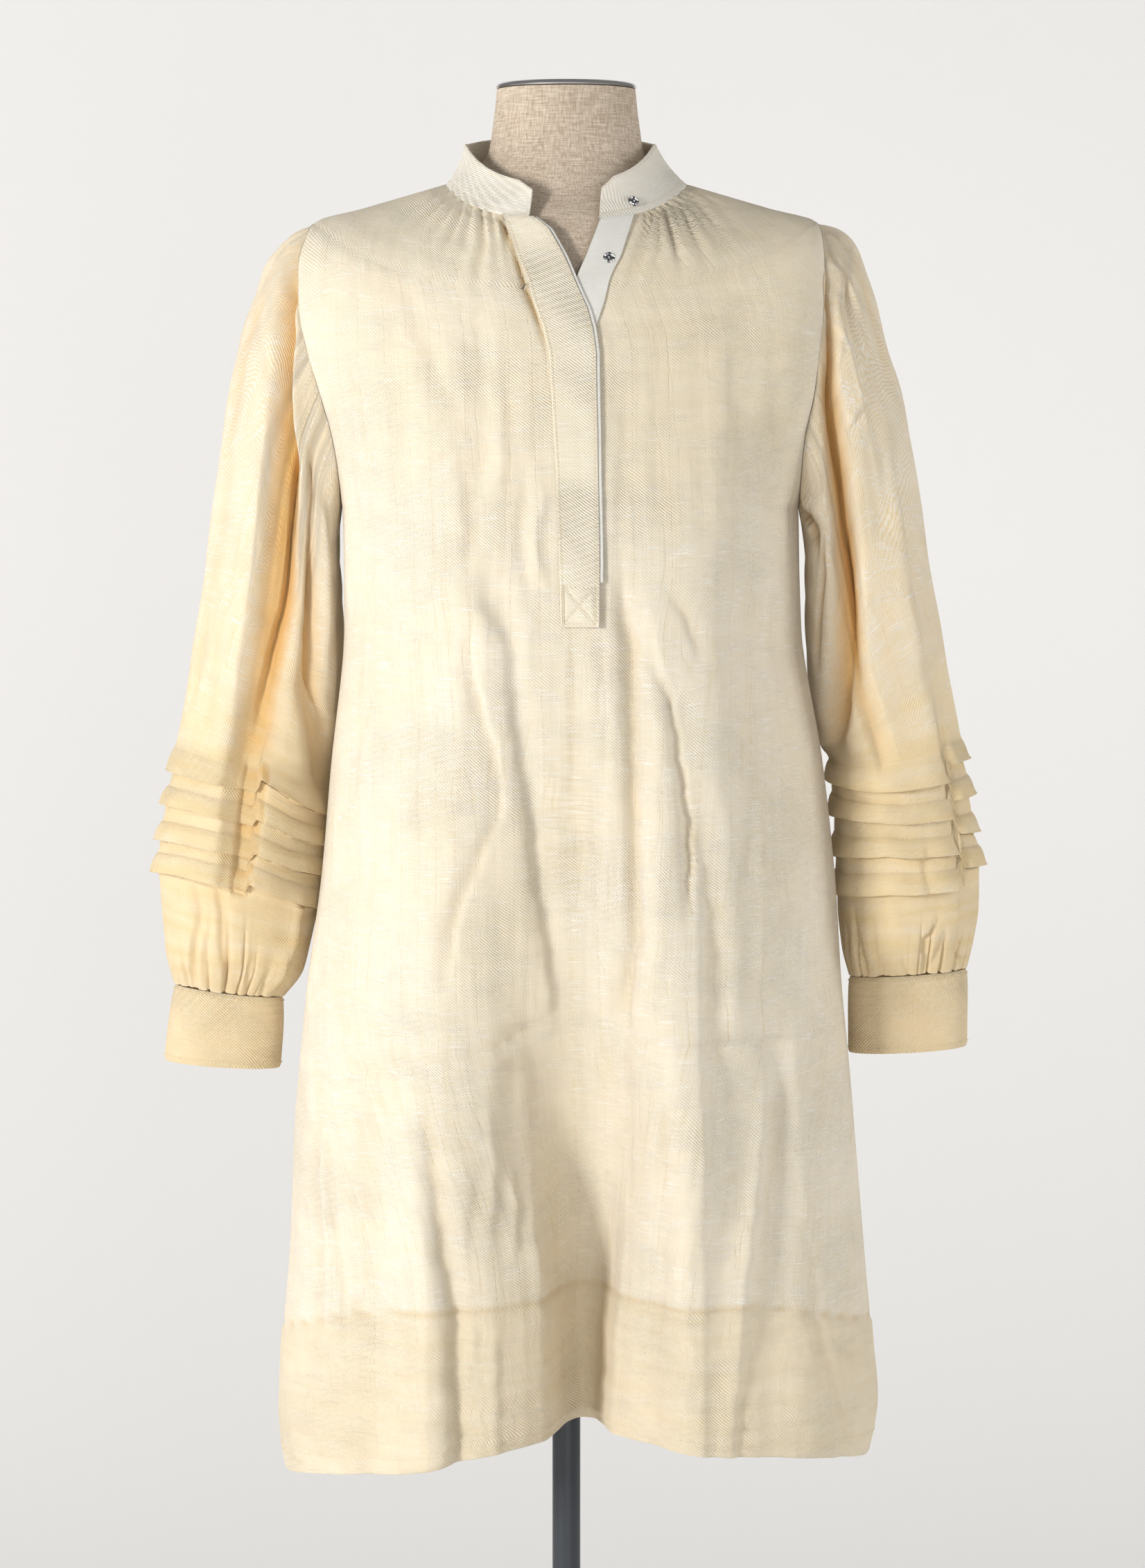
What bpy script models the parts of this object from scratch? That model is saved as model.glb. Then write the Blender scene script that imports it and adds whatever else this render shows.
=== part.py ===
"""Mini dress with bishop sleeves, worn by a limbless dress form on a pole.

Metres. +X is the wearer's left, -Y the front, +Z up. The origin is the centre of the base's underside.
"""

import math

import bpy
import numpy as np
from mathutils import Vector

# ---------------------------------------------------------------- sizes
WALL = 0.0012           # one layer of cloth
HEM_WALL = 0.0021       # two layers, where the hem is turned up
COLLAR_WALL = 0.0020    # two layers
GAP = 0.0003            # between neighbouring pieces
SEAM_HALF = 0.00015     # each side of a seam in the plane y = 0
SLEEVE_SET = 0.0011     # sleeve head to armhole edge

FRONT_COLS = 20         # each side of the slit
BACK_COLS = 26
SLEEVE_COLS = 28

ARM_Y = 0.050           # armhole loop: an ellipse in y and z, with its x by angle below
ARM_Z = 1.293
ARM_HALF = 0.103

GATHER = 0.0018         # half height of the gathers under the collar
TUCK_RISE = 0.0045      # lower edge of a tuck, off the sleeve
TUCK_DROP = 0.015       # stitch line to lower edge

# ---------------------------------------------------------------- body tables
# One row is one line round half of the body, from the centre to the side.
# xe, ye, ze: its end at the side (or armhole). yc, zc: its centre point. wrap: how far it turns, 1 = square to the side.
# mid: shift to +X. psi: place on the armhole loop in degrees, -1 where the row doesn't end on it.
# full: under 1 the section is fuller than an ellipse.
ROW = ("xe", "ye", "ze", "yc", "zc", "wrap", "mid", "psi", "full")
FRONT = np.array([
    (0.088, 0, 1.4245, -0.095, 1.3955, 1.00, 0.000, -1, 1.00),
    (0.112, 0, 1.4175, -0.100, 1.3830, 1.00, 0.000, -1, 1.00),
    (0.148, 0, 1.4070, -0.107, 1.3660, 1.00, 0.000, -1, 1.00),
    (0.184, 0, 1.3960, -0.113, 1.3480, 0.97, 0.000, 0, 1.00),
    (0.184, 0, 1.3774, -0.1185, 1.3300, 0.86, 0.000, 35, 1.00),
    (0.184, 0, 1.3365, -0.125, 1.3000, 0.78, 0.000, 65, 1.00),
    (0.184, 0, 1.2840, -0.130, 1.2620, 0.76, 0.000, 95, 1.00),
    (0.184, 0, 1.2340, -0.134, 1.2240, 0.82, 0.000, 125, 0.97),
    (0.184, 0, 1.1996, -0.136, 1.1980, 0.93, 0.000, 155, 0.93),
    (0.168, 0, 1.1900, -0.137, 1.1890, 1.00, 0.003, 180, 0.90),
    (0.168, 0, 1.1480, -0.138, 1.1480, 1.00, 0.004, -1, 0.91),
    (0.169, 0, 1.0960, -0.139, 1.0960, 1.00, 0.005, -1, 0.93),
    (0.182, 0, 1.0000, -0.140, 1.0000, 1.00, 0.008, -1, 0.95),
    (0.190, 0, 0.9220, -0.141, 0.9220, 1.00, 0.009, -1, 0.96),
    (0.200, 0, 0.8230, -0.143, 0.8230, 1.00, 0.006, -1, 0.97),
    (0.208, 0, 0.7400, -0.146, 0.7400, 1.00, 0.006, -1, 0.98),
    (0.215, 0, 0.6350, -0.150, 0.6350, 1.00, 0.008, -1, 1.00),
    (0.221, 0, 0.5720, -0.153, 0.5720, 1.00, 0.008, -1, 1.00),
    (0.224, 0, 0.5260, -0.155, 0.5340, 1.00, 0.009, -1, 1.00),
    (0.2185, 0, 0.4870, -0.157, 0.5140, 1.00, 0.008, -1, 1.00),
])
# Armhole loop: degrees from the shoulder tip round to the armpit, distance out on the -X and +X side.
ARM_LOOP = np.array([
    (0, 0.1840, 0.1840), (27, 0.1895, 0.1865), (45, 0.1945, 0.1875), (68, 0.1935, 0.1865), (86, 0.1870, 0.1835),
    (103, 0.1780, 0.1795), (121, 0.1700, 0.1735), (138, 0.1665, 0.1715), (158, 0.1652, 0.1710), (180, 0.1650, 0.1710),
])
# How far the hem hangs below its table on the -X and +X side.
HEM_DROP = (0.016, 0.004)
# The back uses the same side ends; only its centre differs.
BACK_CENTRE = np.array([
    # yc, zc
    (0.064, 1.4330), (0.074, 1.4200), (0.085, 1.4000), (0.093, 1.3780), (0.098, 1.3520),
    (0.103, 1.3180), (0.107, 1.2760), (0.109, 1.2320), (0.110, 1.2000), (0.111, 1.1890),
    (0.112, 1.1480), (0.113, 1.0960), (0.118, 1.0000), (0.122, 0.9220), (0.128, 0.8230),
    (0.133, 0.7400), (0.139, 0.6350), (0.142, 0.5720), (0.144, 0.5300), (0.146, 0.5000),
])
BACK = FRONT.copy()
BACK[:, 3:5] = BACK_CENTRE

FRONT_LINES = (0, 0.5, 1, 1.5, 2, 2.5, 3, 3.5, 4, 4.5, 5, 5.5, 6, 6.5, 7, 7.5, 8, 9,
               10, 11, 11.6, 12.3, 13, 13.6, 14.2, 14.8, 15.4, 16, 16.5, 17, 18, 19)
BACK_LINES = (0, 0.5, 1, 2, 3, 4, 5, 6, 7, 8, 9, 10, 11, 12, 13, 14, 15, 16, 16.3, 17, 18, 19)
HEM_LINE = 16.3         # row from which the hem is double
SLIT_LINE = 4.5         # row at which the slit in the front ends

# The deep fold at the centre front: how far it goes in by height, and the share of that by place across.
# Low down it is a narrow notch in a shallow valley, high up only the valley.
FOLD_Z = (0.495, 0.560, 0.617, 0.700, 0.760, 0.823, 0.900, 1.000, 1.060)
FOLD_IN = (0.124, 0.118, 0.107, 0.076, 0.048, 0.026, 0.013, 0.004, 0.000)
FOLD = np.array([
    # x, share low down, share high up
    (-0.100, 0.00, 0.00), (-0.080, 0.08, 0.06), (-0.055, 0.19, 0.25), (-0.030, 0.32, 0.62), (-0.015, 0.43, 0.85),
    (-0.008, 0.62, 0.93), (0.002, 0.90, 1.00), (0.012, 1.00, 1.00), (0.020, 0.98, 0.97), (0.026, 0.84, 0.90),
    (0.033, 0.60, 0.80), (0.045, 0.47, 0.52), (0.065, 0.30, 0.20), (0.082, 0.12, 0.05), (0.098, 0.00, 0.00),
])
FOLD_TURN = (0.640, 0.780)      # the heights between which the low form becomes the high one

# Main creases of the front, each a groove down the cloth: places (x, z), half width, depth.
CREASES = (
    (((-0.057, 1.139), (-0.045, 1.109), (-0.040, 1.060), (-0.032, 1.021), (-0.024, 0.967), (-0.018, 0.912),
      (-0.008, 0.863)), 0.011, 0.0050),
    (((0.043, 1.139), (0.048, 1.080), (0.051, 1.011), (0.051, 0.937), (0.050, 0.878), (0.039, 0.823)), 0.010, 0.0050),
    (((0.064, 1.076), (0.080, 1.047), (0.088, 0.962), (0.090, 0.898)), 0.011, 0.0035),
    (((0.095, 0.985), (0.101, 0.948), (0.103, 0.912), (0.108, 0.828), (0.110, 0.764)), 0.012, 0.0045),
    (((0.118, 0.804), (0.121, 0.714), (0.113, 0.640), (0.111, 0.500)), 0.020, 0.0070),
    (((0.157, 0.813), (0.159, 0.714), (0.155, 0.615), (0.150, 0.500)), 0.014, 0.0045),
    (((-0.092, 0.700), (-0.082, 0.645), (-0.075, 0.615), (-0.074, 0.500)), 0.011, 0.0065),
    (((-0.137, 0.789), (-0.132, 0.714), (-0.134, 0.500)), 0.016, 0.0035),
    (((0.127, 1.353), (0.134, 1.256), (0.133, 1.109)), 0.017, 0.0030),
    (((-0.062, 1.314), (-0.061, 1.197)), 0.013, 0.0025),
)
BACK_CREASES = (
    (((0.000, 1.300), (-0.006, 1.050), (-0.010, 0.800), (-0.014, 0.480)), 0.020, 0.0070),
    (((0.062, 1.150), (0.070, 0.900), (0.078, 0.480)), 0.018, 0.0080),
    (((-0.066, 1.180), (-0.076, 0.900), (-0.084, 0.480)), 0.018, 0.0075),
    (((0.118, 1.050), (0.130, 0.800), (0.140, 0.480)), 0.016, 0.0055),
    (((-0.120, 1.080), (-0.134, 0.800), (-0.146, 0.480)), 0.016, 0.0060),
)

# Placket edges on the front, (x, z) from the top down.
OVER_RIGHT = ((-0.026, 1.3974), (-0.012, 1.387), (-0.002, 1.369), (0.008, 1.347), (0.015, 1.330), (0.0185, 1.3165),
              (0.021, 1.299), (0.0215, 1.266), (0.0225, 1.214), (0.0238, 1.151), (0.0235, 1.106))
OVER_LEFT = ((-0.047, 1.3974), (-0.041, 1.387), (-0.027, 1.346), (-0.0165, 1.3185), (-0.012, 1.299), (-0.0100, 1.266),
             (-0.0070, 1.214), (-0.0050, 1.151), (-0.0040, 1.106))
UNDER_LEFT = ((0.0250, 1.3965), (0.0142, 1.3686), (0.0068, 1.350), (0.0042, 1.344))
UNDER_RIGHT = ((0.0492, 1.3965), (0.0315, 1.347), (0.0198, 1.315))
UNDER_END = 1.3195
EDGE_END = 1.138

# ---------------------------------------------------------------- sleeve tables
# One row is one ring: its outer point, its inner point, its centre's y, its half depth, its tuck state.
# rise: 1 = the lower edge of a tuck. pleat: height of the gathers.
RING = ("xo", "zo", "xi", "zi", "y", "deep", "rise", "pleat")
SLEEVE_RIGHT = np.array([       # the wearer's right, built to +X and turned to -X
    (0.1846, 1.3960, 0.1666, 1.1900, 0.000, 0.0500, 0, 0.3),
    (0.2030, 1.3890, 0.1680, 1.1740, 0.006, 0.0545, 0, 1.0),
    (0.2190, 1.3680, 0.1685, 1.1560, 0.013, 0.0570, 0, 1.0),
    (0.2300, 1.3420, 0.1680, 1.1380, 0.020, 0.0580, 0, 0.7),
    (0.2420, 1.3080, 0.1670, 1.1180, 0.027, 0.0585, 0, 0.4),
    (0.2520, 1.2620, 0.1665, 1.0920, 0.033, 0.0585, 0, 0.2),
    (0.2620, 1.1920, 0.1670, 1.0590, 0.038, 0.0585, 0, 0.0),
    (0.2720, 1.1220, 0.1690, 1.0290, 0.040, 0.0585, 0, 0.0),
    (0.2820, 1.0650, 0.1720, 1.0030, 0.041, 0.0585, 0, 0.0),
    (0.2930, 1.0150, 0.1770, 0.9830, 0.042, 0.0590, 0, 0.0),
    (0.2958, 0.9990, 0.1785, 0.9690, 0.042, 0.0590, 1, 0.0),
    (0.2960, 0.9980, 0.1785, 0.9680, 0.042, 0.0590, 0, 0.0),
    (0.2985, 0.9860, 0.1795, 0.9540, 0.042, 0.0590, 0, 0.0),
    (0.3010, 0.9710, 0.1800, 0.9385, 0.042, 0.0590, 1, 0.0),
    (0.3012, 0.9700, 0.1800, 0.9375, 0.042, 0.0590, 0, 0.0),
    (0.3030, 0.9580, 0.1808, 0.9240, 0.042, 0.0590, 0, 0.0),
    (0.3050, 0.9430, 0.1815, 0.9085, 0.042, 0.0585, 1, 0.0),
    (0.3052, 0.9420, 0.1820, 0.9075, 0.042, 0.0585, 0, 0.0),
    (0.3062, 0.9330, 0.1838, 0.8990, 0.041, 0.0580, 0, 0.0),
    (0.3075, 0.9180, 0.1862, 0.8850, 0.041, 0.0575, 1, 0.0),
    (0.3068, 0.9170, 0.1868, 0.8840, 0.041, 0.0570, 0, 0.2),
    (0.3040, 0.8870, 0.1920, 0.8640, 0.039, 0.0540, 0, 0.6),
    (0.3010, 0.8550, 0.1985, 0.8400, 0.036, 0.0440, 0, 1.0),
    (0.2945, 0.8310, 0.2130, 0.8210, 0.033, 0.0265, 0, 0.9),
])
SLEEVE_LEFT = np.array([        # the wearer's left, +X
    (0.1846, 1.3960, 0.1720, 1.1900, 0.000, 0.0500, 0, 0.3),
    (0.2020, 1.3920, 0.1745, 1.1740, 0.004, 0.0545, 0, 1.0),
    (0.2140, 1.3760, 0.1765, 1.1560, 0.009, 0.0570, 0, 1.0),
    (0.2250, 1.3470, 0.1772, 1.1380, 0.014, 0.0580, 0, 0.7),
    (0.2375, 1.3040, 0.1777, 1.1180, 0.019, 0.0585, 0, 0.4),
    (0.2500, 1.2640, 0.1785, 1.0920, 0.024, 0.0585, 0, 0.2),
    (0.2620, 1.1980, 0.1810, 1.0590, 0.028, 0.0585, 0, 0.0),
    (0.2730, 1.1300, 0.1855, 1.0310, 0.031, 0.0585, 0, 0.0),
    (0.2830, 1.0780, 0.1910, 1.0080, 0.033, 0.0585, 0, 0.0),
    (0.2945, 1.0170, 0.1975, 0.9960, 0.035, 0.0590, 0, 0.0),
    (0.2970, 1.0020, 0.1985, 0.9820, 0.036, 0.0590, 1, 0.0),
    (0.2972, 1.0010, 0.1985, 0.9810, 0.036, 0.0590, 0, 0.0),
    (0.2995, 0.9900, 0.1995, 0.9690, 0.036, 0.0590, 0, 0.0),
    (0.3020, 0.9750, 0.2005, 0.9540, 0.036, 0.0590, 1, 0.0),
    (0.3022, 0.9740, 0.2005, 0.9530, 0.036, 0.0590, 0, 0.0),
    (0.3038, 0.9610, 0.2012, 0.9400, 0.036, 0.0590, 0, 0.0),
    (0.3058, 0.9460, 0.2020, 0.9250, 0.036, 0.0585, 1, 0.0),
    (0.3060, 0.9450, 0.2020, 0.9240, 0.036, 0.0585, 0, 0.0),
    (0.3085, 0.9360, 0.2027, 0.9150, 0.036, 0.0580, 0, 0.0),
    (0.3100, 0.9210, 0.2038, 0.9000, 0.036, 0.0575, 1, 0.0),
    (0.3100, 0.9200, 0.2035, 0.8990, 0.036, 0.0570, 0, 0.2),
    (0.3090, 0.8840, 0.2050, 0.8780, 0.035, 0.0540, 0, 0.6),
    (0.3060, 0.8640, 0.2075, 0.8560, 0.033, 0.0440, 0, 1.0),
    (0.3010, 0.8430, 0.2125, 0.8370, 0.030, 0.0265, 0, 0.9),
])
SLEEVE_FOLDS = {
    # places (row, degrees round from the top or outside, 90 = front), half width in degrees, depth
    "sleeve_right": (
        (((1.0, 44), (2.0, 62), (3.0, 84), (4.0, 95), (6.0, 101), (8.0, 98), (9.0, 95)), 15, 0.0150),
        (((4.5, 122), (7.0, 129), (8.0, 145), (9.0, 158)), 14, 0.0090),
        (((1.0, 18), (5.0, 30), (8.0, 44)), 16, 0.0050),
        (((2.0, -70), (6.0, -80), (9.0, -86)), 22, 0.0090),
        (((3.0, -125), (9.0, -130)), 20, 0.0070),
    ),
    "sleeve_left": (
        (((1.0, 90), (3.0, 98), (5.0, 108), (6.0, 116), (7.0, 131), (8.0, 148)), 15, 0.0150),
        (((1.5, 50), (4.0, 56), (6.0, 60)), 13, 0.0060),
        (((6.0, 92), (9.0, 84)), 16, 0.0050),
        (((2.0, -66), (6.0, -78), (9.0, -84)), 22, 0.0090),
        (((3.0, -122), (9.0, -128)), 20, 0.0070),
    ),
}
HEAD_PLEAT, CUFF_PLEAT = 0.0024, 0.0026
CUFFS = {
    # top and bottom ring: xo, zo, xi, zi, y, half depth
    "cuff_right": ((0.2945, 0.8300, 0.2130, 0.8200, 0.033, 0.0250), (0.3030, 0.7730, 0.2150, 0.7670, 0.031, 0.0262)),
    "cuff_left": ((0.3010, 0.8420, 0.2125, 0.8360, 0.030, 0.0250), (0.3015, 0.7840, 0.2118, 0.7790, 0.028, 0.0262)),
}

# ---------------------------------------------------------------- form tables
# Rings of the torso: half width and its height, front y and height, back y and height.
TORSO = ("x", "z", "yf", "zf", "yb", "zb")
TORSO_RINGS = np.array([
    (0.0506, 1.4930, -0.0506, 1.4930, 0.0506, 1.4930),
    (0.0532, 1.4700, -0.0535, 1.4680, 0.0520, 1.4700),
    (0.0570, 1.4480, -0.0590, 1.4400, 0.0545, 1.4520),
    (0.0680, 1.4345, -0.0700, 1.4150, 0.0575, 1.4420),
    (0.0870, 1.4224, -0.0860, 1.3960, 0.0605, 1.4325),
    (0.1120, 1.4154, -0.0945, 1.3800, 0.0712, 1.4180),
    (0.1480, 1.4049, -0.1020, 1.3620, 0.0822, 1.3975),
    (0.1700, 1.3975, -0.1060, 1.3480, 0.0885, 1.3810),
    (0.1755, 1.3880, -0.1100, 1.3320, 0.0930, 1.3600),
    (0.1730, 1.3600, -0.1160, 1.3020, 0.0970, 1.3250),
    (0.1660, 1.3150, -0.1220, 1.2640, 0.0990, 1.2850),
    (0.1600, 1.2600, -0.1240, 1.2280, 0.0980, 1.2400),
    (0.1560, 1.2000, -0.1180, 1.1850, 0.0950, 1.1900),
    (0.1420, 1.1200, -0.0980, 1.1200, 0.0880, 1.1200),
    (0.1350, 1.0500, -0.0900, 1.0500, 0.0850, 1.0500),
    (0.1430, 0.9800, -0.0960, 0.9800, 0.0920, 0.9800),
    (0.1600, 0.9000, -0.1010, 0.9000, 0.1020, 0.9000),
    (0.1640, 0.8400, -0.0980, 0.8400, 0.1040, 0.8400),
    (0.1600, 0.8080, -0.0940, 0.8080, 0.1010, 0.8080),
    (0.1540, 0.8000, -0.0890, 0.8000, 0.0960, 0.8000),
])
TORSO_SEGMENTS = 32

CAP_PROFILE = ((0.0, 1.4933), (0.0500, 1.4933), (0.0511, 1.4938), (0.0514, 1.4947), (0.0511, 1.4957), (0.0503, 1.4966),
               (0.0480, 1.4974), (0.0, 1.4978))
POLE_PROFILE = ((0.0, 0.0403), (0.0105, 0.0403), (0.0105, 0.7850), (0.0300, 0.7890), (0.0300, 0.7997), (0.0, 0.7997))
BASE_PROFILE = ((0.0, 0.0), (0.1680, 0.0), (0.1700, 0.0020), (0.1700, 0.0070), (0.1670, 0.0100), (0.0600, 0.0155),
                (0.0230, 0.0185), (0.0200, 0.0220), (0.0200, 0.0385), (0.0185, 0.0400), (0.0, 0.0400))
SNAP_PROFILE = ((0.0, 0.0), (0.0040, 0.0), (0.0041, 0.0005), (0.0037, 0.0011), (0.0028, 0.0012), (0.0021, 0.0006),
                (0.0, 0.0006))

COLOURS = {
    # colour, roughness, metallic
    "body_cloth": ((0.84, 0.79, 0.63), 0.92, 0.0),
    "sleeve_cloth": ((0.88, 0.77, 0.55), 0.92, 0.0),
    "facing_cloth": ((0.90, 0.90, 0.87), 0.90, 0.0),
    "form_linen": ((0.52, 0.42, 0.32), 0.95, 0.0),
    "chrome": ((0.62, 0.62, 0.63), 0.12, 1.0),
    "pole_paint": ((0.045, 0.050, 0.058), 0.35, 0.3),
    "snap_metal": ((0.60, 0.60, 0.60), 0.28, 1.0),
}


# ---------------------------------------------------------------- curves through tables
def smooth(table, at):
    """The table's columns at fractional row `at`: a curve through the rows that never overshoots them."""
    t = np.arange(len(table), dtype=float)
    slope = np.diff(table, axis=0)
    tangent = np.zeros_like(table)
    same = slope[:-1] * slope[1:] > 0
    safe = np.where(same, slope[:-1] + slope[1:], 1.0)
    tangent[1:-1] = np.where(same, 2 * slope[:-1] * slope[1:] / safe, 0.0)
    tangent[0], tangent[-1] = slope[0], slope[-1]
    i = int(np.clip(math.floor(at), 0, len(table) - 2))
    s = at - t[i]
    return (
        (1 + 2 * s) * (1 - s) ** 2 * table[i]
        + s * (1 - s) ** 2 * tangent[i]
        + s * s * (3 - 2 * s) * table[i + 1]
        + s * s * (s - 1) * tangent[i + 1]
    )


def line_at(places, z):
    """x at height z on a line of (x, z) places, top first, held at its ends."""
    xs, zs = np.array(places, dtype=float).T
    return float(np.interp(z, zs[::-1], xs[::-1]))


def ease(x):
    x = min(max(x, 0.0), 1.0)
    return x * x * (3 - 2 * x)


def unit(vector):
    return vector / max(float(np.linalg.norm(vector)), 1e-12)


# ---------------------------------------------------------------- body surface
def body_row(table, at):
    """One row with its side ends moved onto the armhole loops where they belong there. xn is its reach to -X."""
    row = dict(zip(ROW, smooth(table, at)))
    row["xn"] = row["xe"]
    row["drop"] = ease((at - 15.0) / 4.0)
    if 3 <= at <= 9:
        degrees = float(np.interp(at, range(3, 10), table[3:10, 7]))
        angle = math.radians(degrees)
        side = 1 if table is BACK else -1
        row["xn"] = arm_x(degrees, -1) + row["mid"]
        row["xe"] = arm_x(degrees, 1) - row["mid"]
        row["ye"] = side * ARM_Y * math.sin(angle)
        row["ze"] = ARM_Z + ARM_HALF * math.cos(angle)
    return row


def arm_x(degrees, side):
    """The armhole loop's distance from the middle plane."""
    return float(smooth_line(ARM_LOOP[:, 0], ARM_LOOP[:, 1 if side < 0 else 2], degrees))


def smooth_line(xs, ys, x):
    place = float(np.interp(x, xs, range(len(xs))))
    return smooth(np.array(ys, dtype=float)[:, None], place)[0]


def row_u(row, x):
    """How far round the row the place with this x is, -1 to 1."""
    turn = row["wrap"] * math.pi / 2
    reach = row["xe"] if x > row["mid"] else row.get("xn", row["xe"])
    share = (x - row["mid"]) * math.sin(turn) / reach
    return math.asin(min(max(share, -1.0), 1.0)) / turn


def row_point(row, u):
    turn = row["wrap"] * math.pi / 2
    a = min(abs(u), 1.0)
    reach = row["xe"] if u > 0 else row.get("xn", row["xe"])
    x = math.copysign(reach * math.sin(a * turn) / math.sin(turn), u) + row["mid"]
    left = max((math.cos(a * turn) - math.cos(turn)) / (1 - math.cos(turn)), 0.0)
    y = row["ye"] + (row["yc"] - row["ye"]) * left ** row.get("full", 1.0)
    z = row["zc"] + (row["ze"] - row["zc"]) * math.sin(math.pi / 2 * a ** 2.3)
    z -= row.get("drop", 0.0) * HEM_DROP[0 if u < 0 else 1] * ease(a / 0.45)
    return np.array((x, y, z))


def centre_fold(point):
    """How far back the deep centre fold takes this place of the front."""
    if not FOLD[0, 0] < point[0] < FOLD[-1, 0]:
        return 0.0
    low, high = (smooth_line(FOLD[:, 0], FOLD[:, k], point[0]) for k in (1, 2))
    turn = ease((FOLD_TURN[1] - point[2]) / (FOLD_TURN[1] - FOLD_TURN[0]))
    return float(np.interp(point[2], FOLD_Z, FOLD_IN)) * (high + (low - high) * turn)


def crease_depth(point, creases):
    total = 0.0
    for places, half, depth in creases:
        top, bottom = places[0][1], places[-1][1]
        fade = ease((top + 0.03 - point[2]) / 0.06)
        if bottom > 0.52:
            fade *= ease((point[2] - bottom + 0.04) / 0.08)
        s = (point[0] - line_at(places, point[2])) / half
        total += depth * fade * math.exp(-s * s)
    return total


def body_base(table, u, at):
    point = row_point(body_row(table, at), u)
    if table is FRONT:
        point[1] += centre_fold(point)
    return point


def body_normal(table, u, at):
    """Outward normal of the smooth surface; on a side seam it lies in the seam's plane."""
    step = 0.02
    along = body_base(table, min(u + step, 1), at) - body_base(table, max(u - step, -1), at)
    down = body_base(table, u, min(at + 0.1, 19)) - body_base(table, u, max(at - 0.1, 0))
    normal = np.cross(down, along) if table is FRONT else np.cross(along, down)
    if abs(u) > 0.999 and not 3 < at < 9:
        normal[1] = 0
    return unit(normal)


def body_outer(table, u, at, gather=0.0):
    point = body_base(table, u, at)
    calm = 1 - abs(u) ** 6
    depth = crease_depth(point, CREASES if table is FRONT else BACK_CREASES) * calm
    out = body_normal(table, u, at)
    return point + out * (gather * calm - depth), out


def gather_height(column, columns, at, beside=1.0):
    """Gathers under the collar: every second column stands out, most of all near the slit but not under it."""
    share = abs(column / columns)
    amount = GATHER * ease(1.25 * (1 - share) + 0.15) * ease((4.4 - at) / 3.4) * ease(beside / 0.006)
    return amount if column % 2 else -amount


# ---------------------------------------------------------------- meshes
def material(name):
    found = bpy.data.materials.get(name)
    if found:
        return found
    colour, roughness, metallic = COLOURS[name]
    made = bpy.data.materials.new(name)
    made.use_nodes = True
    shader = made.node_tree.nodes["Principled BSDF"]
    shader.inputs["Base Color"].default_value = (*colour, 1)
    shader.inputs["Roughness"].default_value = roughness
    shader.inputs["Metallic"].default_value = metallic
    return made


def volume(points, faces):
    total = 0.0
    for face in faces:
        a = points[face[0]]
        for b, c in zip(face[1:], face[2:]):
            total += float(np.dot(a, np.cross(points[b], points[c])))
    return total / 6


def add_object(name, points, faces, look):
    points = [np.array(p, dtype=float) for p in points]
    if volume(points, faces) < 0:
        faces = [face[::-1] for face in faces]
    mesh = bpy.data.meshes.new(name)
    mesh.from_pydata([tuple(p) for p in points], [], faces)
    mesh.materials.append(material(look))
    mesh.validate()
    mesh.shade_smooth()
    mesh.set_sharp_from_angle(angle=math.radians(50))
    made = bpy.data.objects.new(name, mesh)
    COLLECTION.objects.link(made)
    return made


def cloth(name, outer, inner, look, closed=False, slit=None):
    """A wall between two grids of points, row by row. slit = (column, rows): parted after that column, above that row."""
    rows, cols = len(outer), len(outer[0])
    points, index = [], {}
    for side, grid in enumerate((outer, inner)):
        for r in range(rows):
            for c in range(cols):
                if slit and c == slit[0] + 1 and r >= slit[1]:
                    index[side, r, c] = index[side, r, c - 1]
                    continue
                index[side, r, c] = len(points)
                points.append(grid[r][c])
    pairs = [(c, (c + 1) % cols) for c in range(cols if closed else cols - 1)]
    if slit:
        pairs = [pair for pair in pairs if pair[0] != slit[0]]
    faces = []
    for r in range(rows - 1):
        for a, b in pairs:
            faces.append((index[0, r, a], index[0, r + 1, a], index[0, r + 1, b], index[0, r, b]))
            faces.append((index[1, r, a], index[1, r, b], index[1, r + 1, b], index[1, r + 1, a]))
    for r, other in ((0, False), (rows - 1, True)):
        for a, b in pairs:
            rim = (index[0, r, a], index[0, r, b], index[1, r, b], index[1, r, a])
            faces.append(rim[::-1] if other else rim)
    sides = [] if closed else [(0, False, rows - 1), (cols - 1, True, rows - 1)]
    if slit:
        sides += [(slit[0], True, slit[1]), (slit[0] + 1, False, slit[1])]
    for c, other, last in sides:
        for r in range(last):
            rim = (index[0, r, c], index[1, r, c], index[1, r + 1, c], index[0, r + 1, c])
            faces.append(rim[::-1] if other else rim)
    return add_object(name, points, faces, look)


def lathe(name, profile, look, segments, place=(0, 0, 0), out=(0, 0, 1)):
    """A profile of (radius, height) pairs, bottom to top, turned round `out` at `place` by a Screw modifier."""
    mesh = bpy.data.meshes.new(name)
    points = [(radius, 0.0, height) for radius, height in reversed(profile)]
    mesh.from_pydata(points, [(k, k + 1) for k in range(len(points) - 1)], [])
    mesh.materials.append(material(look))
    made = bpy.data.objects.new(name, mesh)
    COLLECTION.objects.link(made)
    made.location = place
    made.rotation_mode = "QUATERNION"
    made.rotation_quaternion = Vector(out).to_track_quat("Z", "Y")
    screw = made.modifiers.new("turn", "SCREW")
    screw.axis = "Z"
    screw.angle = 2 * math.pi
    screw.steps = screw.render_steps = segments
    screw.use_merge_vertices = True
    screw.merge_threshold = 0.00005
    screw.use_smooth_shade = True
    return made


# ---------------------------------------------------------------- body pieces
def wall_at(at):
    return WALL + (HEM_WALL - WALL) * ease((at - HEM_LINE) / 0.15)


def row_centre_z(at):
    return body_base(FRONT, 0.0, at)[2]


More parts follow.
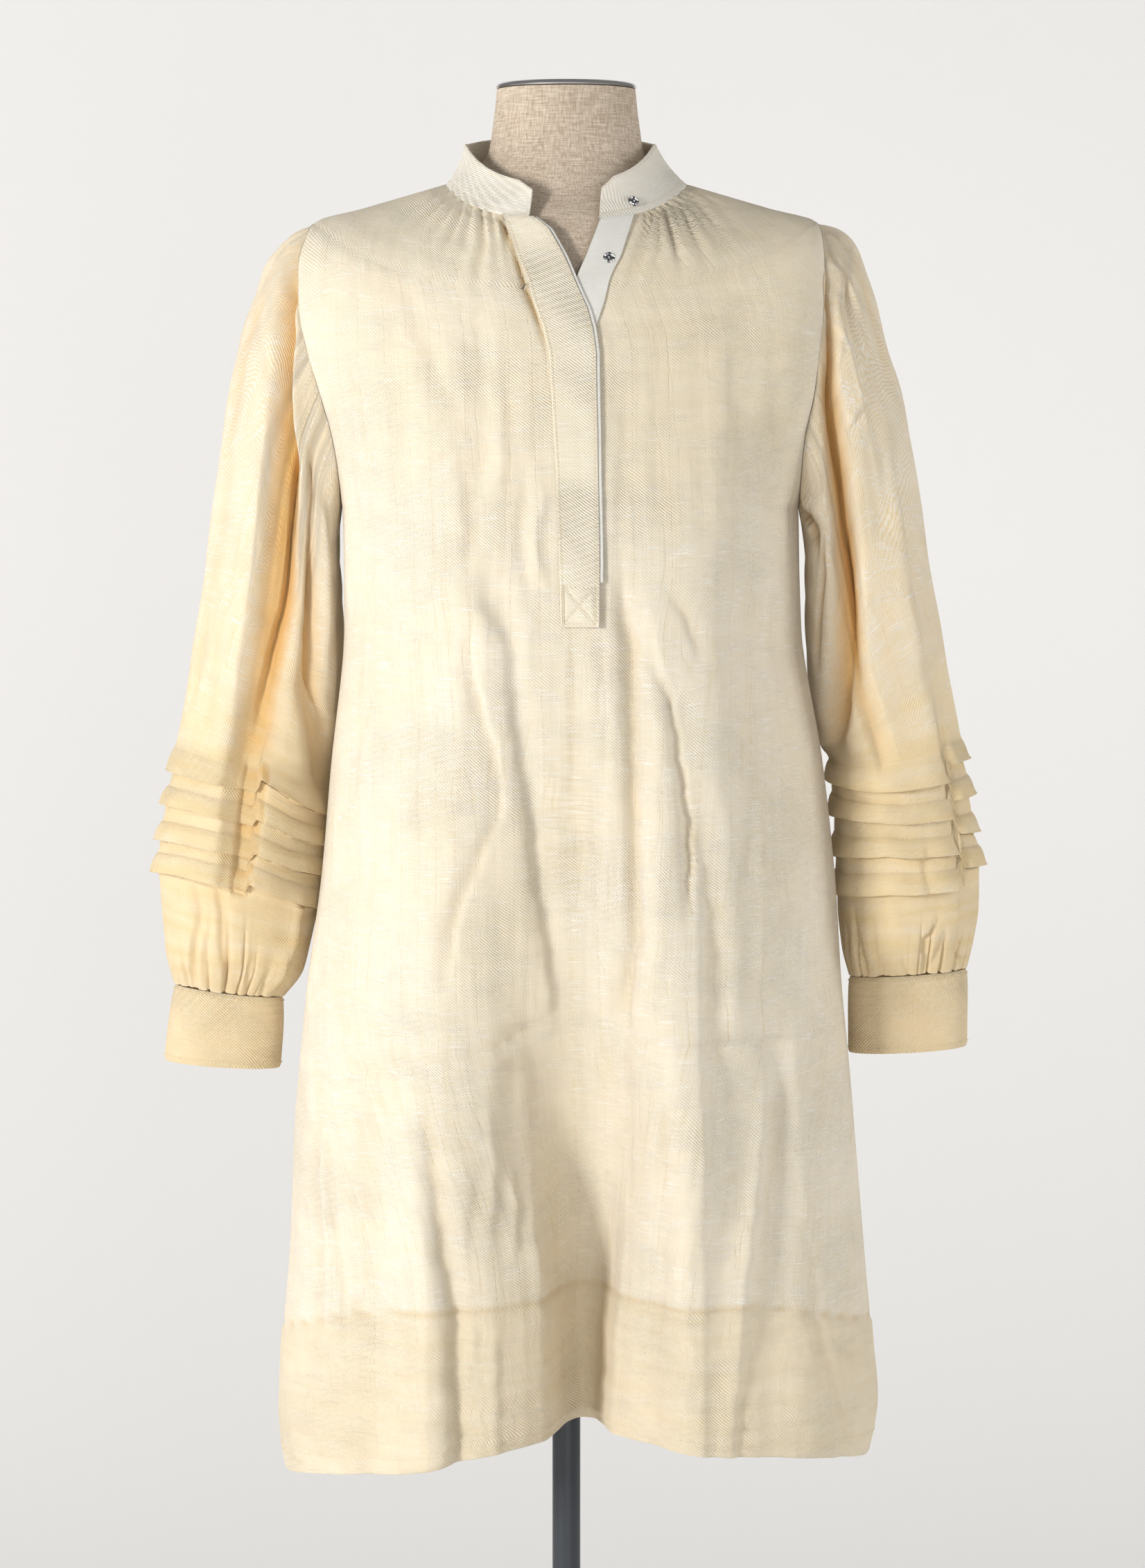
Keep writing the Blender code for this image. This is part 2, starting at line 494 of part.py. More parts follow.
def line_for_z(z):
    """The row whose centre is at this height."""
    low, high = 0.0, 19.0
    for _ in range(40):
        middle = (low + high) / 2
        low, high = (middle, high) if row_centre_z(middle) > z else (low, middle)
    return low


def make_front():
    outer, inner = [], []
    for at in FRONT_LINES:
        row = body_row(FRONT, at)
        z = row["zc"]
        left, right = line_at(OVER_RIGHT, z) - 0.0025, line_at(UNDER_LEFT, z) + 0.0025
        if right - left < 0.003:
            middle = line_at(OVER_RIGHT, z) - 0.006
            half = 0.001 if at < SLIT_LINE else 0.0
            left, right = middle - half, middle + half
        ends = (row_u(row, left), row_u(row, right))
        a, b = [], []
        for side, end in zip((-1, 1), ends):
            order = range(FRONT_COLS, -1, -1) if side < 0 else range(FRONT_COLS + 1)
            for k in order:
                share = k / FRONT_COLS
                u = end + (side - end) * share * (0.45 + 0.55 * share)
                x = row_point(row, u)[0]
                beside = max(line_at(OVER_LEFT, z) - x, x - line_at(UNDER_RIGHT, z)) - 0.001
                height = gather_height(k, FRONT_COLS, at, beside)
                point, out = body_outer(FRONT, u, at, height)
                a.append(point + (0, -SEAM_HALF, 0))
                b.append(point + (0, -SEAM_HALF, 0) - out * wall_at(at))
        outer.append(a)
        inner.append(b)
    slit_row = FRONT_LINES.index(SLIT_LINE)
    return cloth("body_front", outer, inner, "body_cloth", slit=(FRONT_COLS, slit_row))


def make_back():
    outer, inner = [], []
    for at in BACK_LINES:
        a, b = [], []
        for k in range(BACK_COLS + 1):
            u = 2 * k / BACK_COLS - 1
            height = 0.6 * gather_height(k - BACK_COLS // 2, BACK_COLS // 2, at)
            point, out = body_outer(BACK, u, at, height)
            a.append(point + (0, SEAM_HALF, 0))
            b.append(point + (0, SEAM_HALF, 0) - out * wall_at(at))
        outer.append(a)
        inner.append(b)
    return cloth("body_back", outer, inner, "body_cloth")


def strip(name, look, left, right, z_top, z_end, rows, lifts, thick):
    """A strip that lies on the front: lifts = height off it at points across, left to right."""
    first, last = line_for_z(z_top), line_for_z(z_end)
    outer, inner = [], []
    for k in range(rows + 1):
        at = first + (last - first) * k / rows
        row = body_row(FRONT, at)
        z = row_centre_z(at)
        a, b = [], []
        for share, lift in lifts:
            x = left(z) + (right(z) - left(z)) * share
            point, out = body_outer(FRONT, row_u(row, x), at)
            a.append(point + out * (lift + thick))
            b.append(point + out * lift)
        outer.append(a)
        inner.append(b)
    return cloth(name, outer, inner, look)


def make_plackets():
    clear = 0.0010
    strip("placket_over", "body_cloth", lambda z: line_at(OVER_LEFT, z), lambda z: line_at(OVER_RIGHT, z),
          1.3940, 1.1065, 26, ((0, clear), (0.3, clear), (0.75, clear + 0.0013), (1, clear + 0.0015)), 0.0016)
    strip("placket_edge", "facing_cloth", lambda z: line_at(OVER_RIGHT, z) + 0.0004,
          lambda z: line_at(OVER_RIGHT, z) + 0.0026, 1.3940, EDGE_END, 22,
          ((0, clear + 0.0015), (1, clear + 0.0014)), 0.0010)

    def under_left(z):
        return max(line_at(UNDER_LEFT, z), line_at(OVER_RIGHT, z) - 0.0030)

    strip("placket_under", "facing_cloth", under_left, lambda z: line_at(UNDER_RIGHT, z), 1.3940, UNDER_END, 9,
          ((0, clear), (0.5, clear), (1, clear)), 0.0010)


# ---------------------------------------------------------------- collar
COLLAR_BASE = {"xe": 0.086, "ye": 0, "ze": 1.4240, "wrap": 1.0, "mid": 0.0}
COLLAR_TOP = {"xe": 0.0685, "ye": 0, "ze": 1.4530, "wrap": 1.0, "mid": -0.0045}
COLLAR_FRONT = ((-0.0950, 1.3955), (-0.0870, 1.4205))    # centre y and height, base and top
COLLAR_BACK = ((0.0640, 1.4330), (0.0590, 1.4620))
COLLAR_ENDS = ((-0.0262, 0.0238), (-0.0238, 0.0262))   # -X and +X end, at the base and at the top
COLLAR_LIFT = 0.0016


def collar_rows():
    """Points of the band as (share of height, list of points), from the right front end round the back."""
    def row(base, centre):
        return dict(base, yc=centre[0], zc=centre[1])

    rows = [(row(COLLAR_BASE, COLLAR_FRONT[0]), row(COLLAR_BASE, COLLAR_BACK[0])),
            (row(COLLAR_TOP, COLLAR_FRONT[1]), row(COLLAR_TOP, COLLAR_BACK[1]))]
    places = []
    steps = 9
    for k in range(steps + 1):
        places.append(("front", 1, k / steps))
    for k in range(1, 2 * steps):
        places.append(("back", 1 - k / steps, None))
    for k in range(steps, -1, -1):
        places.append(("front", -1, k / steps))
    found = []
    for kind, side, share in places:
        pair = []
        for (front, back), ends in zip(rows, COLLAR_ENDS):
            if kind == "back":
                pair.append(row_point(back, side))
                continue
            end = row_u(front, ends[1] if side > 0 else ends[0])
            pair.append(row_point(front, end + (side - end) * share))
        rounding = 1.0 if share is None else min(1.0, 0.80 + 1.8 * share)
        found.append((pair[0], pair[1], rounding))
    return found


def make_collar():
    levels = (0.0, 0.35, 0.7, 1.0)
    outer, inner = [], []
    path = collar_rows()
    for level in levels:
        a, b = [], []
        for k, (base, top, rounding) in enumerate(path):
            before, after = path[max(k - 1, 0)], path[min(k + 1, len(path) - 1)]
            along = after[0] - before[0]
            out = unit(np.cross(along, top - base))
            h = level * rounding
            lift = COLLAR_LIFT * out + unit(top - base) * (GAP + 0.0012)
            point = base + (top - base) * h + lift - out * 0.0016 * math.sin(math.pi * h)
            a.append(point)
            b.append(point - out * COLLAR_WALL)
        outer.append(a)
        inner.append(b)
    return cloth("collar_band", outer, inner, "body_cloth")


# ---------------------------------------------------------------- sleeves
def sleeve_base(table, degrees, at):
    ring = dict(zip(RING, smooth(table, at)))
    angle = math.radians(degrees)
    outer = np.array((ring["xo"], ring["y"], ring["zo"]))
    inner = np.array((ring["xi"], ring["y"], ring["zi"]))
    point = (
        (outer + inner) / 2
        + (outer - inner) / 2 * math.cos(angle)
        + np.array((0.0, -ring["deep"] * math.sin(angle), 0.0))
    )
    if at < 2 and len(table) > 2:
        side = -1 if table is SLEEVE_RIGHT else 1
        turn = abs((degrees + 180) % 360 - 180)
        point[0] += (arm_x(turn, side) + SLEEVE_SET - point[0]) * (1 - at / 2) ** 2
    return point


def sleeve_normal(table, degrees, at):
    last = len(table) - 1
    round_it = sleeve_base(table, degrees + 3, at) - sleeve_base(table, degrees - 3, at)
    down = sleeve_base(table, degrees, min(at + 0.4, last)) - sleeve_base(table, degrees, max(at - 0.4, 0))
    return unit(np.cross(round_it, down))


def fold_depth(folds, degrees, at):
    total = 0.0
    for places, half, depth in folds:
        rows, turns = np.array(places, dtype=float).T
        fade = ease((at - rows[0] + 0.9) / 1.8) * ease((rows[-1] + 0.9 - at) / 1.8)
        s = (degrees - float(np.interp(at, rows, turns))) / half
        s = (s + 180 / half) % (360 / half) - 180 / half
        total += depth * fade * math.exp(-s * s)
    return total


def make_sleeve(name, table, mirrored):
    outer, inner = [], []
    for at in range(len(table)):
        a, b = [], []
        for k in range(SLEEVE_COLS):
            degrees = 360 * k / SLEEVE_COLS
            signed = degrees - 360 if degrees > 180 else degrees
            base = sleeve_base(table, degrees, at)
            out = sleeve_normal(table, degrees, at)
            if at == 0:
                out = unit(out * (0, 1, 1))
            pleat = (CUFF_PLEAT if at > 12 else HEAD_PLEAT * ease(1.5 - abs(signed) / 80)) * table[at, 7]
            lift = pleat * (1 if k % 2 else -1) - fold_depth(SLEEVE_FOLDS[name], signed, at)
            lift += TUCK_RISE * table[at, 6]
            low = WALL + TUCK_RISE * table[at, 6]
            a.append(base + out * lift)
            b.append(base + out * (lift - low))
        outer.append(a)
        inner.append(b)
    if mirrored:
        outer = [[p * (-1, 1, 1) for p in line] for line in outer]
        inner = [[p * (-1, 1, 1) for p in line] for line in inner]
    return cloth(name, outer, inner, "sleeve_cloth", closed=True)


def make_cuff(name, mirrored):
    table = np.array([(*ring[:6], 0, 0) for ring in CUFFS[name]])
    outer, inner = [], []
    for share in (0.0, 0.5, 1.0):
        a, b = [], []
        for k in range(28):
            degrees = 360 * k / 28
            base = sleeve_base(table, degrees, share)
            out = sleeve_normal(table, degrees, share)
            a.append(base + out * 0.0006 * math.sin(math.pi * share))
            b.append(base - out * 0.0018)
        outer.append(a)
        inner.append(b)
    if mirrored:
        outer = [[p * (-1, 1, 1) for p in line] for line in outer]
        inner = [[p * (-1, 1, 1) for p in line] for line in inner]
    return cloth(name, outer, inner, "sleeve_cloth", closed=True)


# ---------------------------------------------------------------- form
def make_torso():
    points, faces = [], []
    for ring in TORSO_RINGS:
        r = dict(zip(TORSO, ring))
        for k in range(TORSO_SEGMENTS):
            angle = 2 * math.pi * k / TORSO_SEGMENTS
            c, s = math.cos(angle), math.sin(angle)
            y, z = (r["yb"], r["zb"]) if s > 0 else (r["yf"], r["zf"])
            away = (1 - abs(c)) ** 1.0
            turn = 1 - math.sin(math.pi / 2 * (2 / math.pi * math.asin(min(1, abs(c)))) ** 2.3)
            points.append((r["x"] * c, y * abs(s), r["z"] + (z - r["z"]) * (turn if away else 0)))
    rows, n = len(TORSO_RINGS), TORSO_SEGMENTS
    for r in range(rows - 1):
        for k in range(n):
            j = (k + 1) % n
            faces.append((r * n + k, (r + 1) * n + k, (r + 1) * n + j, r * n + j))
    faces.append(tuple(range(n)))
    faces.append(tuple((rows - 1) * n + k for k in range(n - 1, -1, -1)))
    return add_object("form_torso", points, faces, "form_linen")


def make_snaps():
    path = collar_rows()
    target_x = 0.0440
    k = next(i for i in range(1, 9) if (path[i + 1][0] + path[i + 1][1])[0] / 2 > target_x)
    low, high = ((path[i][0] + path[i][1])[0] / 2 for i in (k, k + 1))
    share = (target_x - low) / (high - low)
    base, top = (path[k][i] + (path[k + 1][i] - path[k][i]) * share for i in (0, 1))
    out = unit(np.cross(path[k + 1][0] - path[k][0], top - base))
    place = base + (top - base) * 0.20 + out * (COLLAR_LIFT + GAP + 0.0002) + unit(top - base) * 0.0015
    lathe("snap_collar", SNAP_PROFILE, "snap_metal", 14, place, out)
    at = line_for_z(1.366)
    row = body_row(FRONT, at)
    point, out = body_outer(FRONT, row_u(row, 0.0302), at)
    lathe("snap_placket", SNAP_PROFILE, "snap_metal", 14, point + out * 0.0020, out)


for old in list(bpy.data.objects):
    bpy.data.objects.remove(old)
COLLECTION = bpy.data.collections.new("mini_dress_on_form")
bpy.context.scene.collection.children.link(COLLECTION)

make_torso()
lathe("neck_cap", CAP_PROFILE, "chrome", 32)
lathe("stand_pole", POLE_PROFILE, "pole_paint", 24)
lathe("stand_base", BASE_PROFILE, "pole_paint", 36)
make_front()
make_back()
make_collar()
make_plackets()
make_sleeve("sleeve_right", SLEEVE_RIGHT, True)
make_sleeve("sleeve_left", SLEEVE_LEFT, False)
make_cuff("cuff_right", True)
make_cuff("cuff_left", False)
make_snaps()
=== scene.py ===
"""Mini dress with bishop sleeves, worn by a limbless dress form on a pole: its looks.

Metres, in the frame of the part: +X is the wearer's left, -Y the front, +Z up.
"""

import math

import bpy
import numpy as np
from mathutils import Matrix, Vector


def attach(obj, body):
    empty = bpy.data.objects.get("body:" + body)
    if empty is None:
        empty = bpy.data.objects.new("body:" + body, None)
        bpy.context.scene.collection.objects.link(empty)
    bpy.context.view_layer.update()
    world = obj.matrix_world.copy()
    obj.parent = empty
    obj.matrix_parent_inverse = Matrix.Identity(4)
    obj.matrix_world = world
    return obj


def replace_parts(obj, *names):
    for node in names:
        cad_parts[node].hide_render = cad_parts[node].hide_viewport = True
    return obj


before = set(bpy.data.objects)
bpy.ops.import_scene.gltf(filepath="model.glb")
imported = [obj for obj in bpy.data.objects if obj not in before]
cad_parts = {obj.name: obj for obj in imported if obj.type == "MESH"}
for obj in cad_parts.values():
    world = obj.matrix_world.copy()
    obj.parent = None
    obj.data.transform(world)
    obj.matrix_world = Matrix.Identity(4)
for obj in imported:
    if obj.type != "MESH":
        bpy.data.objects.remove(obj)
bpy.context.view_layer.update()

# ---------------------------------------------------------------- readers of the tables
def table(text, *plain):
    """(column names, rows of numbers): millimetres, but for the plain columns."""
    names, *rows = (line.split() for line in text.splitlines())
    return names, np.array(rows, dtype=float) / [1 if name in plain else 1000 for name in names]


def creases(text, scale=1000):
    """One crease a line, as places | half width, or one to each side | depth, under 0 for a ridge.

    The places are pairs. They and the half widths are divided by scale, and the depth is in millimetres.
    """
    made = []
    for line in text.strip().splitlines():
        places, half, depth = (np.array(part.split(), dtype=float) for part in line.split("|"))
        made.append((places.reshape(-1, 2) / scale, np.resize(half, 2) / scale if len(half) else None, depth[0] / 1000))
    return made


# ---------------------------------------------------------------- sizes
COLLAR_WALL = 0.0020    # two layers
GAP = 0.0003            # between neighbouring pieces
SEAM_HALF = 0.00015     # each side of a seam in the plane y = 0
SLEEVE_SET = 0.0011     # sleeve head to armhole edge
ARM_Y = 0.050           # armhole loop: an ellipse in y and z, with its x by angle below
ARM_Z = 1.293
ARM_HALF = 0.103

# ---------------------------------------------------------------- body tables
# One row is one line round half of the body, from the centre to the side.
# xe, ye, ze: its end at the side (or armhole). yc, zc: its centre point.
# wrap: how far it turns, 1 = square to the side.
# mid: shift to +X. psi: place on the armhole loop in degrees, -1 where the row doesn't end on it.
# full: under 1 the section is fuller than an ellipse.
ARM_TOP, ARM_FOOT, LAST_ROW = 3, 9, 19      # rows that begin and end the armhole, and the hem's edge
ROW, FRONT = table("""xe ye ze yc zc wrap mid psi full
88 0 1424.5 -95 1395.5 1 0 -1 1
112 0 1417.5 -100 1383 1 0 -1 1
148 0 1407 -107 1366 1 0 -1 1
184 0 1396 -113 1348 0.97 0 0 1
184 0 1377.4 -118.5 1330 0.86 0 35 1
184 0 1336.5 -125 1300 0.78 0 65 1
184 0 1284 -130 1262 0.76 0 95 1
184 0 1234 -134 1224 0.82 0 125 0.97
184 0 1199.6 -136 1198 0.93 0 155 0.93
168 0 1190 -137 1189 1 3 180 0.9
168 0 1148 -138 1148 1 4 -1 0.91
169 0 1096 -139 1096 1 5 -1 0.93
182 0 1000 -140 1000 1 8 -1 0.95
190 0 922 -141 922 1 9 -1 0.96
200 0 823 -143 823 1 6 -1 0.97
208 0 740 -146 740 1 6 -1 0.98
215 0 635 -150 635 1 8 -1 1
221 0 572 -153 572 1 8 -1 1
224 0 526 -155 534 1 9 -1 1
218.5 0 487 -157 514 1 8 -1 1""", "wrap", "psi", "full")
# Armhole loop: degrees from the shoulder tip round to the armpit, distance out on the -X and +X side.
ARM_LOOP = np.array([
    (0, 0.1840, 0.1840), (27, 0.1895, 0.1865), (45, 0.1945, 0.1875), (68, 0.1935, 0.1865), (86, 0.1870, 0.1835),
    (103, 0.1780, 0.1795), (121, 0.1700, 0.1735), (138, 0.1665, 0.1715), (158, 0.1652, 0.1710), (180, 0.1650, 0.1710),
])
# How far the hem hangs below its table on the -X and +X side.
HEM_DROP = (0.016, 0.004)
# The back uses the same side ends; only its centre differs.
BACK = FRONT.copy()
BACK[:, 3:5] = table("""yc zc
64 1433
74 1420
85 1400
93 1378
98 1352
103 1318
107 1276
109 1232
110 1200
111 1189
112 1148
113 1096
118 1000
122 922
128 823
133 740
139 635
142 572
144 530
146 500""")[1]

SLIT_LINE = 4.5         # row at which the slit in the front ends

# The deep fold at the centre front: how far it goes in by height, and the share of that by place across.
# Low down it is a narrow notch in a shallow valley, high up only the valley.
FOLD_Z = (0.495, 0.560, 0.617, 0.700, 0.760, 0.823, 0.900, 1.000, 1.060)
FOLD_IN = (0.124, 0.118, 0.107, 0.076, 0.048, 0.026, 0.013, 0.004, 0.000)
FOLD = np.array([
    # x, share low down, share high up
    (-0.100, 0.00, 0.00), (-0.080, 0.08, 0.06), (-0.055, 0.19, 0.25), (-0.030, 0.32, 0.62), (-0.015, 0.43, 0.85),
    (-0.008, 0.62, 0.93), (0.002, 0.90, 1.00), (0.012, 1.00, 1.00), (0.020, 0.98, 0.97), (0.026, 0.84, 0.90),
    (0.033, 0.60, 0.80), (0.045, 0.47, 0.52), (0.065, 0.30, 0.20), (0.082, 0.12, 0.05), (0.098, 0.00, 0.00),
])
FOLD_TURN = (0.640, 0.780)      # the heights between which the low form becomes the high one

# Main creases of the front and back, each a groove down the cloth, at places (x, z).
CREASES = creases("""
-57 1139 -45 1109 -40 1060 -32 1021 -24 967 -18 912 -8 863 | 11 | 5
43 1139 48 1080 51 1011 51 937 50 878 39 823 | 10 | 5
64 1076 80 1047 88 962 90 898 | 11 | 3.5
95 985 101 948 103 912 108 828 110 764 | 12 | 4.5
118 804 121 714 113 640 111 500 | 20 | 7
157 813 159 714 155 615 150 500 | 14 | 4.5
-92 700 -82 645 -75 615 -74 500 | 11 | 6.5
-137 789 -132 714 -134 500 | 16 | 3.5
127 1353 134 1256 133 1109 | 17 | 3
-62 1314 -61 1197 | 13 | 2.5""")
BACK_CREASES = creases("""
0 1300 -6 1050 -10 800 -14 480 | 20 | 7
62 1150 70 900 78 480 | 18 | 8
-66 1180 -76 900 -84 480 | 18 | 7.5
118 1050 130 800 140 480 | 16 | 5.5
-120 1080 -134 800 -146 480 | 16 | 6""")

# Placket edges on the front, (x, z) from the top down.
OVER_RIGHT = ((-0.026, 1.3974), (-0.012, 1.387), (-0.002, 1.369), (0.008, 1.347), (0.015, 1.330), (0.0185, 1.3165),
              (0.021, 1.299), (0.0215, 1.266), (0.0225, 1.214), (0.0238, 1.151), (0.0235, 1.106))
OVER_LEFT = ((-0.047, 1.3974), (-0.041, 1.387), (-0.027, 1.346), (-0.0165, 1.3185), (-0.012, 1.299), (-0.0100, 1.266),
             (-0.0070, 1.214), (-0.0050, 1.151), (-0.0040, 1.106))
UNDER_LEFT = ((0.0250, 1.3965), (0.0142, 1.3686), (0.0068, 1.350), (0.0042, 1.344))
UNDER_RIGHT = ((0.0492, 1.3965), (0.0315, 1.347), (0.0198, 1.315))
UNDER_END = 1.3195
EDGE_END = 1.138

# ---------------------------------------------------------------- sleeve tables
# One row is one ring: its outer point, its inner point, its centre's y, its half depth, its tuck state.
# rise: 1 = the lower edge of a tuck. pleat: height of the gathers.
RING, SLEEVE_RIGHT = table("""xo zo xi zi y deep rise pleat
184.6 1396 166.6 1190 0 50 0 0.3
203 1389 168 1174 6 54.5 0 1
219 1368 168.5 1156 13 57 0 1
230 1342 168 1138 20 58 0 0.7
242 1308 167 1118 27 58.5 0 0.4
252 1262 166.5 1092 33 58.5 0 0.2
262 1192 167 1059 38 58.5 0 0
272 1122 169 1029 40 58.5 0 0
282 1065 172 1003 41 58.5 0 0
293 1015 177 983 42 59 0 0
295.8 999 178.5 969 42 59 1 0
296 998 178.5 968 42 59 0 0
298.5 986 179.5 954 42 59 0 0
301 971 180 938.5 42 59 1 0
301.2 970 180 937.5 42 59 0 0
303 958 180.8 924 42 59 0 0
305 943 181.5 908.5 42 58.5 1 0
305.2 942 182 907.5 42 58.5 0 0
306.2 933 183.8 899 41 58 0 0
307.5 918 186.2 885 41 57.5 1 0
306.8 917 186.8 884 41 57 0 0.2
304 887 192 864 39 54 0 0.6
301 855 198.5 840 36 44 0 1
294.5 831 213 821 33 26.5 0 0.9""", "rise", "pleat")
RING, SLEEVE_LEFT = table("""xo zo xi zi y deep rise pleat
184.6 1396 172 1190 0 50 0 0.3
202 1392 174.5 1174 4 54.5 0 1
214 1376 176.5 1156 9 57 0 1
225 1347 177.2 1138 14 58 0 0.7
237.5 1304 177.7 1118 19 58.5 0 0.4
250 1264 178.5 1092 24 58.5 0 0.2
262 1198 181 1059 28 58.5 0 0
273 1130 185.5 1031 31 58.5 0 0
283 1078 191 1008 33 58.5 0 0
294.5 1017 197.5 996 35 59 0 0
297 1002 198.5 982 36 59 1 0
297.2 1001 198.5 981 36 59 0 0
299.5 990 199.5 969 36 59 0 0
302 975 200.5 954 36 59 1 0
302.2 974 200.5 953 36 59 0 0
303.8 961 201.2 940 36 59 0 0
305.8 946 202 925 36 58.5 1 0
306 945 202 924 36 58.5 0 0
308.5 936 202.7 915 36 58 0 0
310 921 203.8 900 36 57.5 1 0
310 920 203.5 899 36 57 0 0.2
309 884 205 878 35 54 0 0.6
306 864 207.5 856 33 44 0 1
301 843 212.5 837 30 26.5 0 0.9""", "rise", "pleat")
# The sleeve's folds, at places (row, degrees round), with half widths in degrees.
SLEEVE_FOLDS = {
    "sleeve_right": creases("""
1 44 2 62 3 84 4 95 6 101 8 98 9 95 | 15 | 15
4.5 122 7 129 8 145 9 158 | 14 | 9
1 18 5 30 8 44 | 16 | 5
2 -70 6 -80 9 -86 | 22 | 9
3 -125 9 -130 | 20 | 7""", 1),
    "sleeve_left": creases("""
1 90 3 98 5 108 6 116 7 131 8 148 | 15 | 15
1.5 50 4 56 6 60 | 13 | 6
6 92 9 84 | 16 | 5
2 -66 6 -78 9 -84 | 22 | 9
3 -122 9 -128 | 20 | 7""", 1),
}
HEAD_PLEAT, CUFF_PLEAT = 0.0024, 0.0026
CUFF_SEAMS = (0.055, 0.93)      # stitch lines, as shares of a cuff's height
CUFFS = {
    # top and bottom ring: xo, zo, xi, zi, y, half depth
    "cuff_right": ((0.2945, 0.8300, 0.2130, 0.8200, 0.033, 0.0250), (0.3030, 0.7730, 0.2150, 0.7670, 0.031, 0.0262)),
    "cuff_left": ((0.3010, 0.8420, 0.2125, 0.8360, 0.030, 0.0250), (0.3015, 0.7840, 0.2118, 0.7790, 0.028, 0.0262)),
}

# ---------------------------------------------------------------- form tables
# Rings of the torso: half width and its height, front y and height, back y and height.
TORSO, TORSO_RINGS = table("""x z yf zf yb zb
50.6 1493 -50.6 1493 50.6 1493
53.2 1470 -53.5 1468 52 1470
57 1448 -59 1440 54.5 1452
68 1434.5 -70 1415 57.5 1442
87 1422.4 -86 1396 60.5 1432.5
112 1415.4 -94.5 1380 71.2 1418
148 1404.9 -102 1362 82.2 1397.5
170 1397.5 -106 1348 88.5 1381
175.5 1388 -110 1332 93 1360
173 1360 -116 1302 97 1325
166 1315 -122 1264 99 1285
160 1260 -124 1228 98 1240
156 1200 -118 1185 95 1190
142 1120 -98 1120 88 1120
135 1050 -90 1050 85 1050
143 980 -96 980 92 980
160 900 -101 900 102 900
164 840 -98 840 104 840
160 808 -94 808 101 808
154 800 -89 800 96 800""")

CAP_PROFILE = ((0.0, 1.4933), (0.0500, 1.4933), (0.0511, 1.4938), (0.0514, 1.4947), (0.0511, 1.4957), (0.0503, 1.4966),
               (0.0480, 1.4974), (0.0, 1.4978))
POLE_PROFILE = ((0.0, 0.0403), (0.0105, 0.0403), (0.0105, 0.7850), (0.0300, 0.7890), (0.0300, 0.7997), (0.0, 0.7997))
BASE_PROFILE = ((0.0, 0.0), (0.1680, 0.0), (0.1700, 0.0020), (0.1700, 0.0070), (0.1670, 0.0100), (0.0600, 0.0155),
                (0.0230, 0.0185), (0.0200, 0.0220), (0.0200, 0.0385), (0.0185, 0.0400), (0.0, 0.0400))

COLLAR_BASE = {"xe": 0.086, "ye": 0, "ze": 1.4240, "wrap": 1.0, "mid": 0.0}
COLLAR_TOP = {"xe": 0.0685, "ye": 0, "ze": 1.4530, "wrap": 1.0, "mid": -0.0045}
COLLAR_FRONT = ((-0.0950, 1.3955), (-0.0870, 1.4205))    # centre y and height, base and top
COLLAR_BACK = ((0.0640, 1.4330), (0.0590, 1.4620))
COLLAR_ENDS = ((-0.0262, 0.0238), (-0.0238, 0.0262))   # -X and +X end, at the base and at the top
COLLAR_LIFT = 0.0016


# ---------------------------------------------------------------- materials
def put(socket, value):
    if isinstance(value, Wire):
        value.look.tree.links.new(value.socket, socket)
    else:
        socket.default_value = (*value, 1) if socket.type == "RGBA" else value


class Wire:
    """A value in a look's node tree, with the arithmetic that the looks need."""

    def __init__(self, look, socket):
        self.look, self.socket = look, socket

    def maths(self, operation, *others, clamp=False):
        return self.look.wire("Math", 0, enumerate((self, *others)), operation=operation, use_clamp=clamp)

    def __mul__(self, other):
        return self.maths("MULTIPLY", other)

    def __add__(self, other):
        return self.maths("ADD", other)

    def from_middle(self):
        return self.maths("SUBTRACT", 0.5).maths("ABSOLUTE")

    def wave(self, length):
        return (self * (2 * math.pi / length)).maths("SINE")

    def span(self, low, high, out_low=0.0, out_high=1.0):
        return self.look.wire("MapRange", 0, enumerate((self, low, high, out_low, out_high)))


class Look:
    """A material, its shader and the nodes that feed it."""

    def __init__(self, name, colour, roughness, metallic=0.0, **more):
        self.made = bpy.data.materials.new(name)
        self.made.use_nodes = True
        self.made.diffuse_color = (*colour, 1)
        self.tree = self.made.node_tree
        self.set(Base_Color=colour, Roughness=roughness, Metallic=metallic, **more)

    def set(self, **values):
        for key, value in values.items():
            put(self.tree.nodes["Principled BSDF"].inputs[key.replace("_", " ")], value)

    def wire(self, kind, output, inputs=(), **settings):
        made = self.tree.nodes.new("ShaderNode" + kind)
        for key, value in settings.items():
            setattr(made, key, value)
        for key, value in inputs:
            put(made.inputs[key], value)
        return Wire(self, made.outputs[output])

    def place(self):
        return self.wire("TexCoord", "Object")

    def tone(self, name):
        return self.wire("Attribute", "Fac", attribute_name=name)

    def mix(self, share, a, b):
        return self.wire("Mix", 2, ((0, share), (6, a), (7, b)), data_type="RGBA")

    def noise(self, where, scale, detail=2.0, rough=0.5):
        stretched = self.wire("VectorMath", 0, ((0, where), (1, scale)), operation="MULTIPLY")
        inputs = (("Vector", stretched), ("Scale", 1.0), ("Detail", detail), ("Roughness", rough))
        return self.wire("TexNoise", "Fac", inputs)

    def bump(self, height, distance, strength=1.0):
        self.set(Normal=self.wire("Bump", 0, (("Strength", strength), ("Distance", distance), ("Height", height))))


def added(first, *parts):
    """first plus each (wire, share)."""
    for part, share in parts:
        first = part.maths("MULTIPLY_ADD", share, first)
    return first


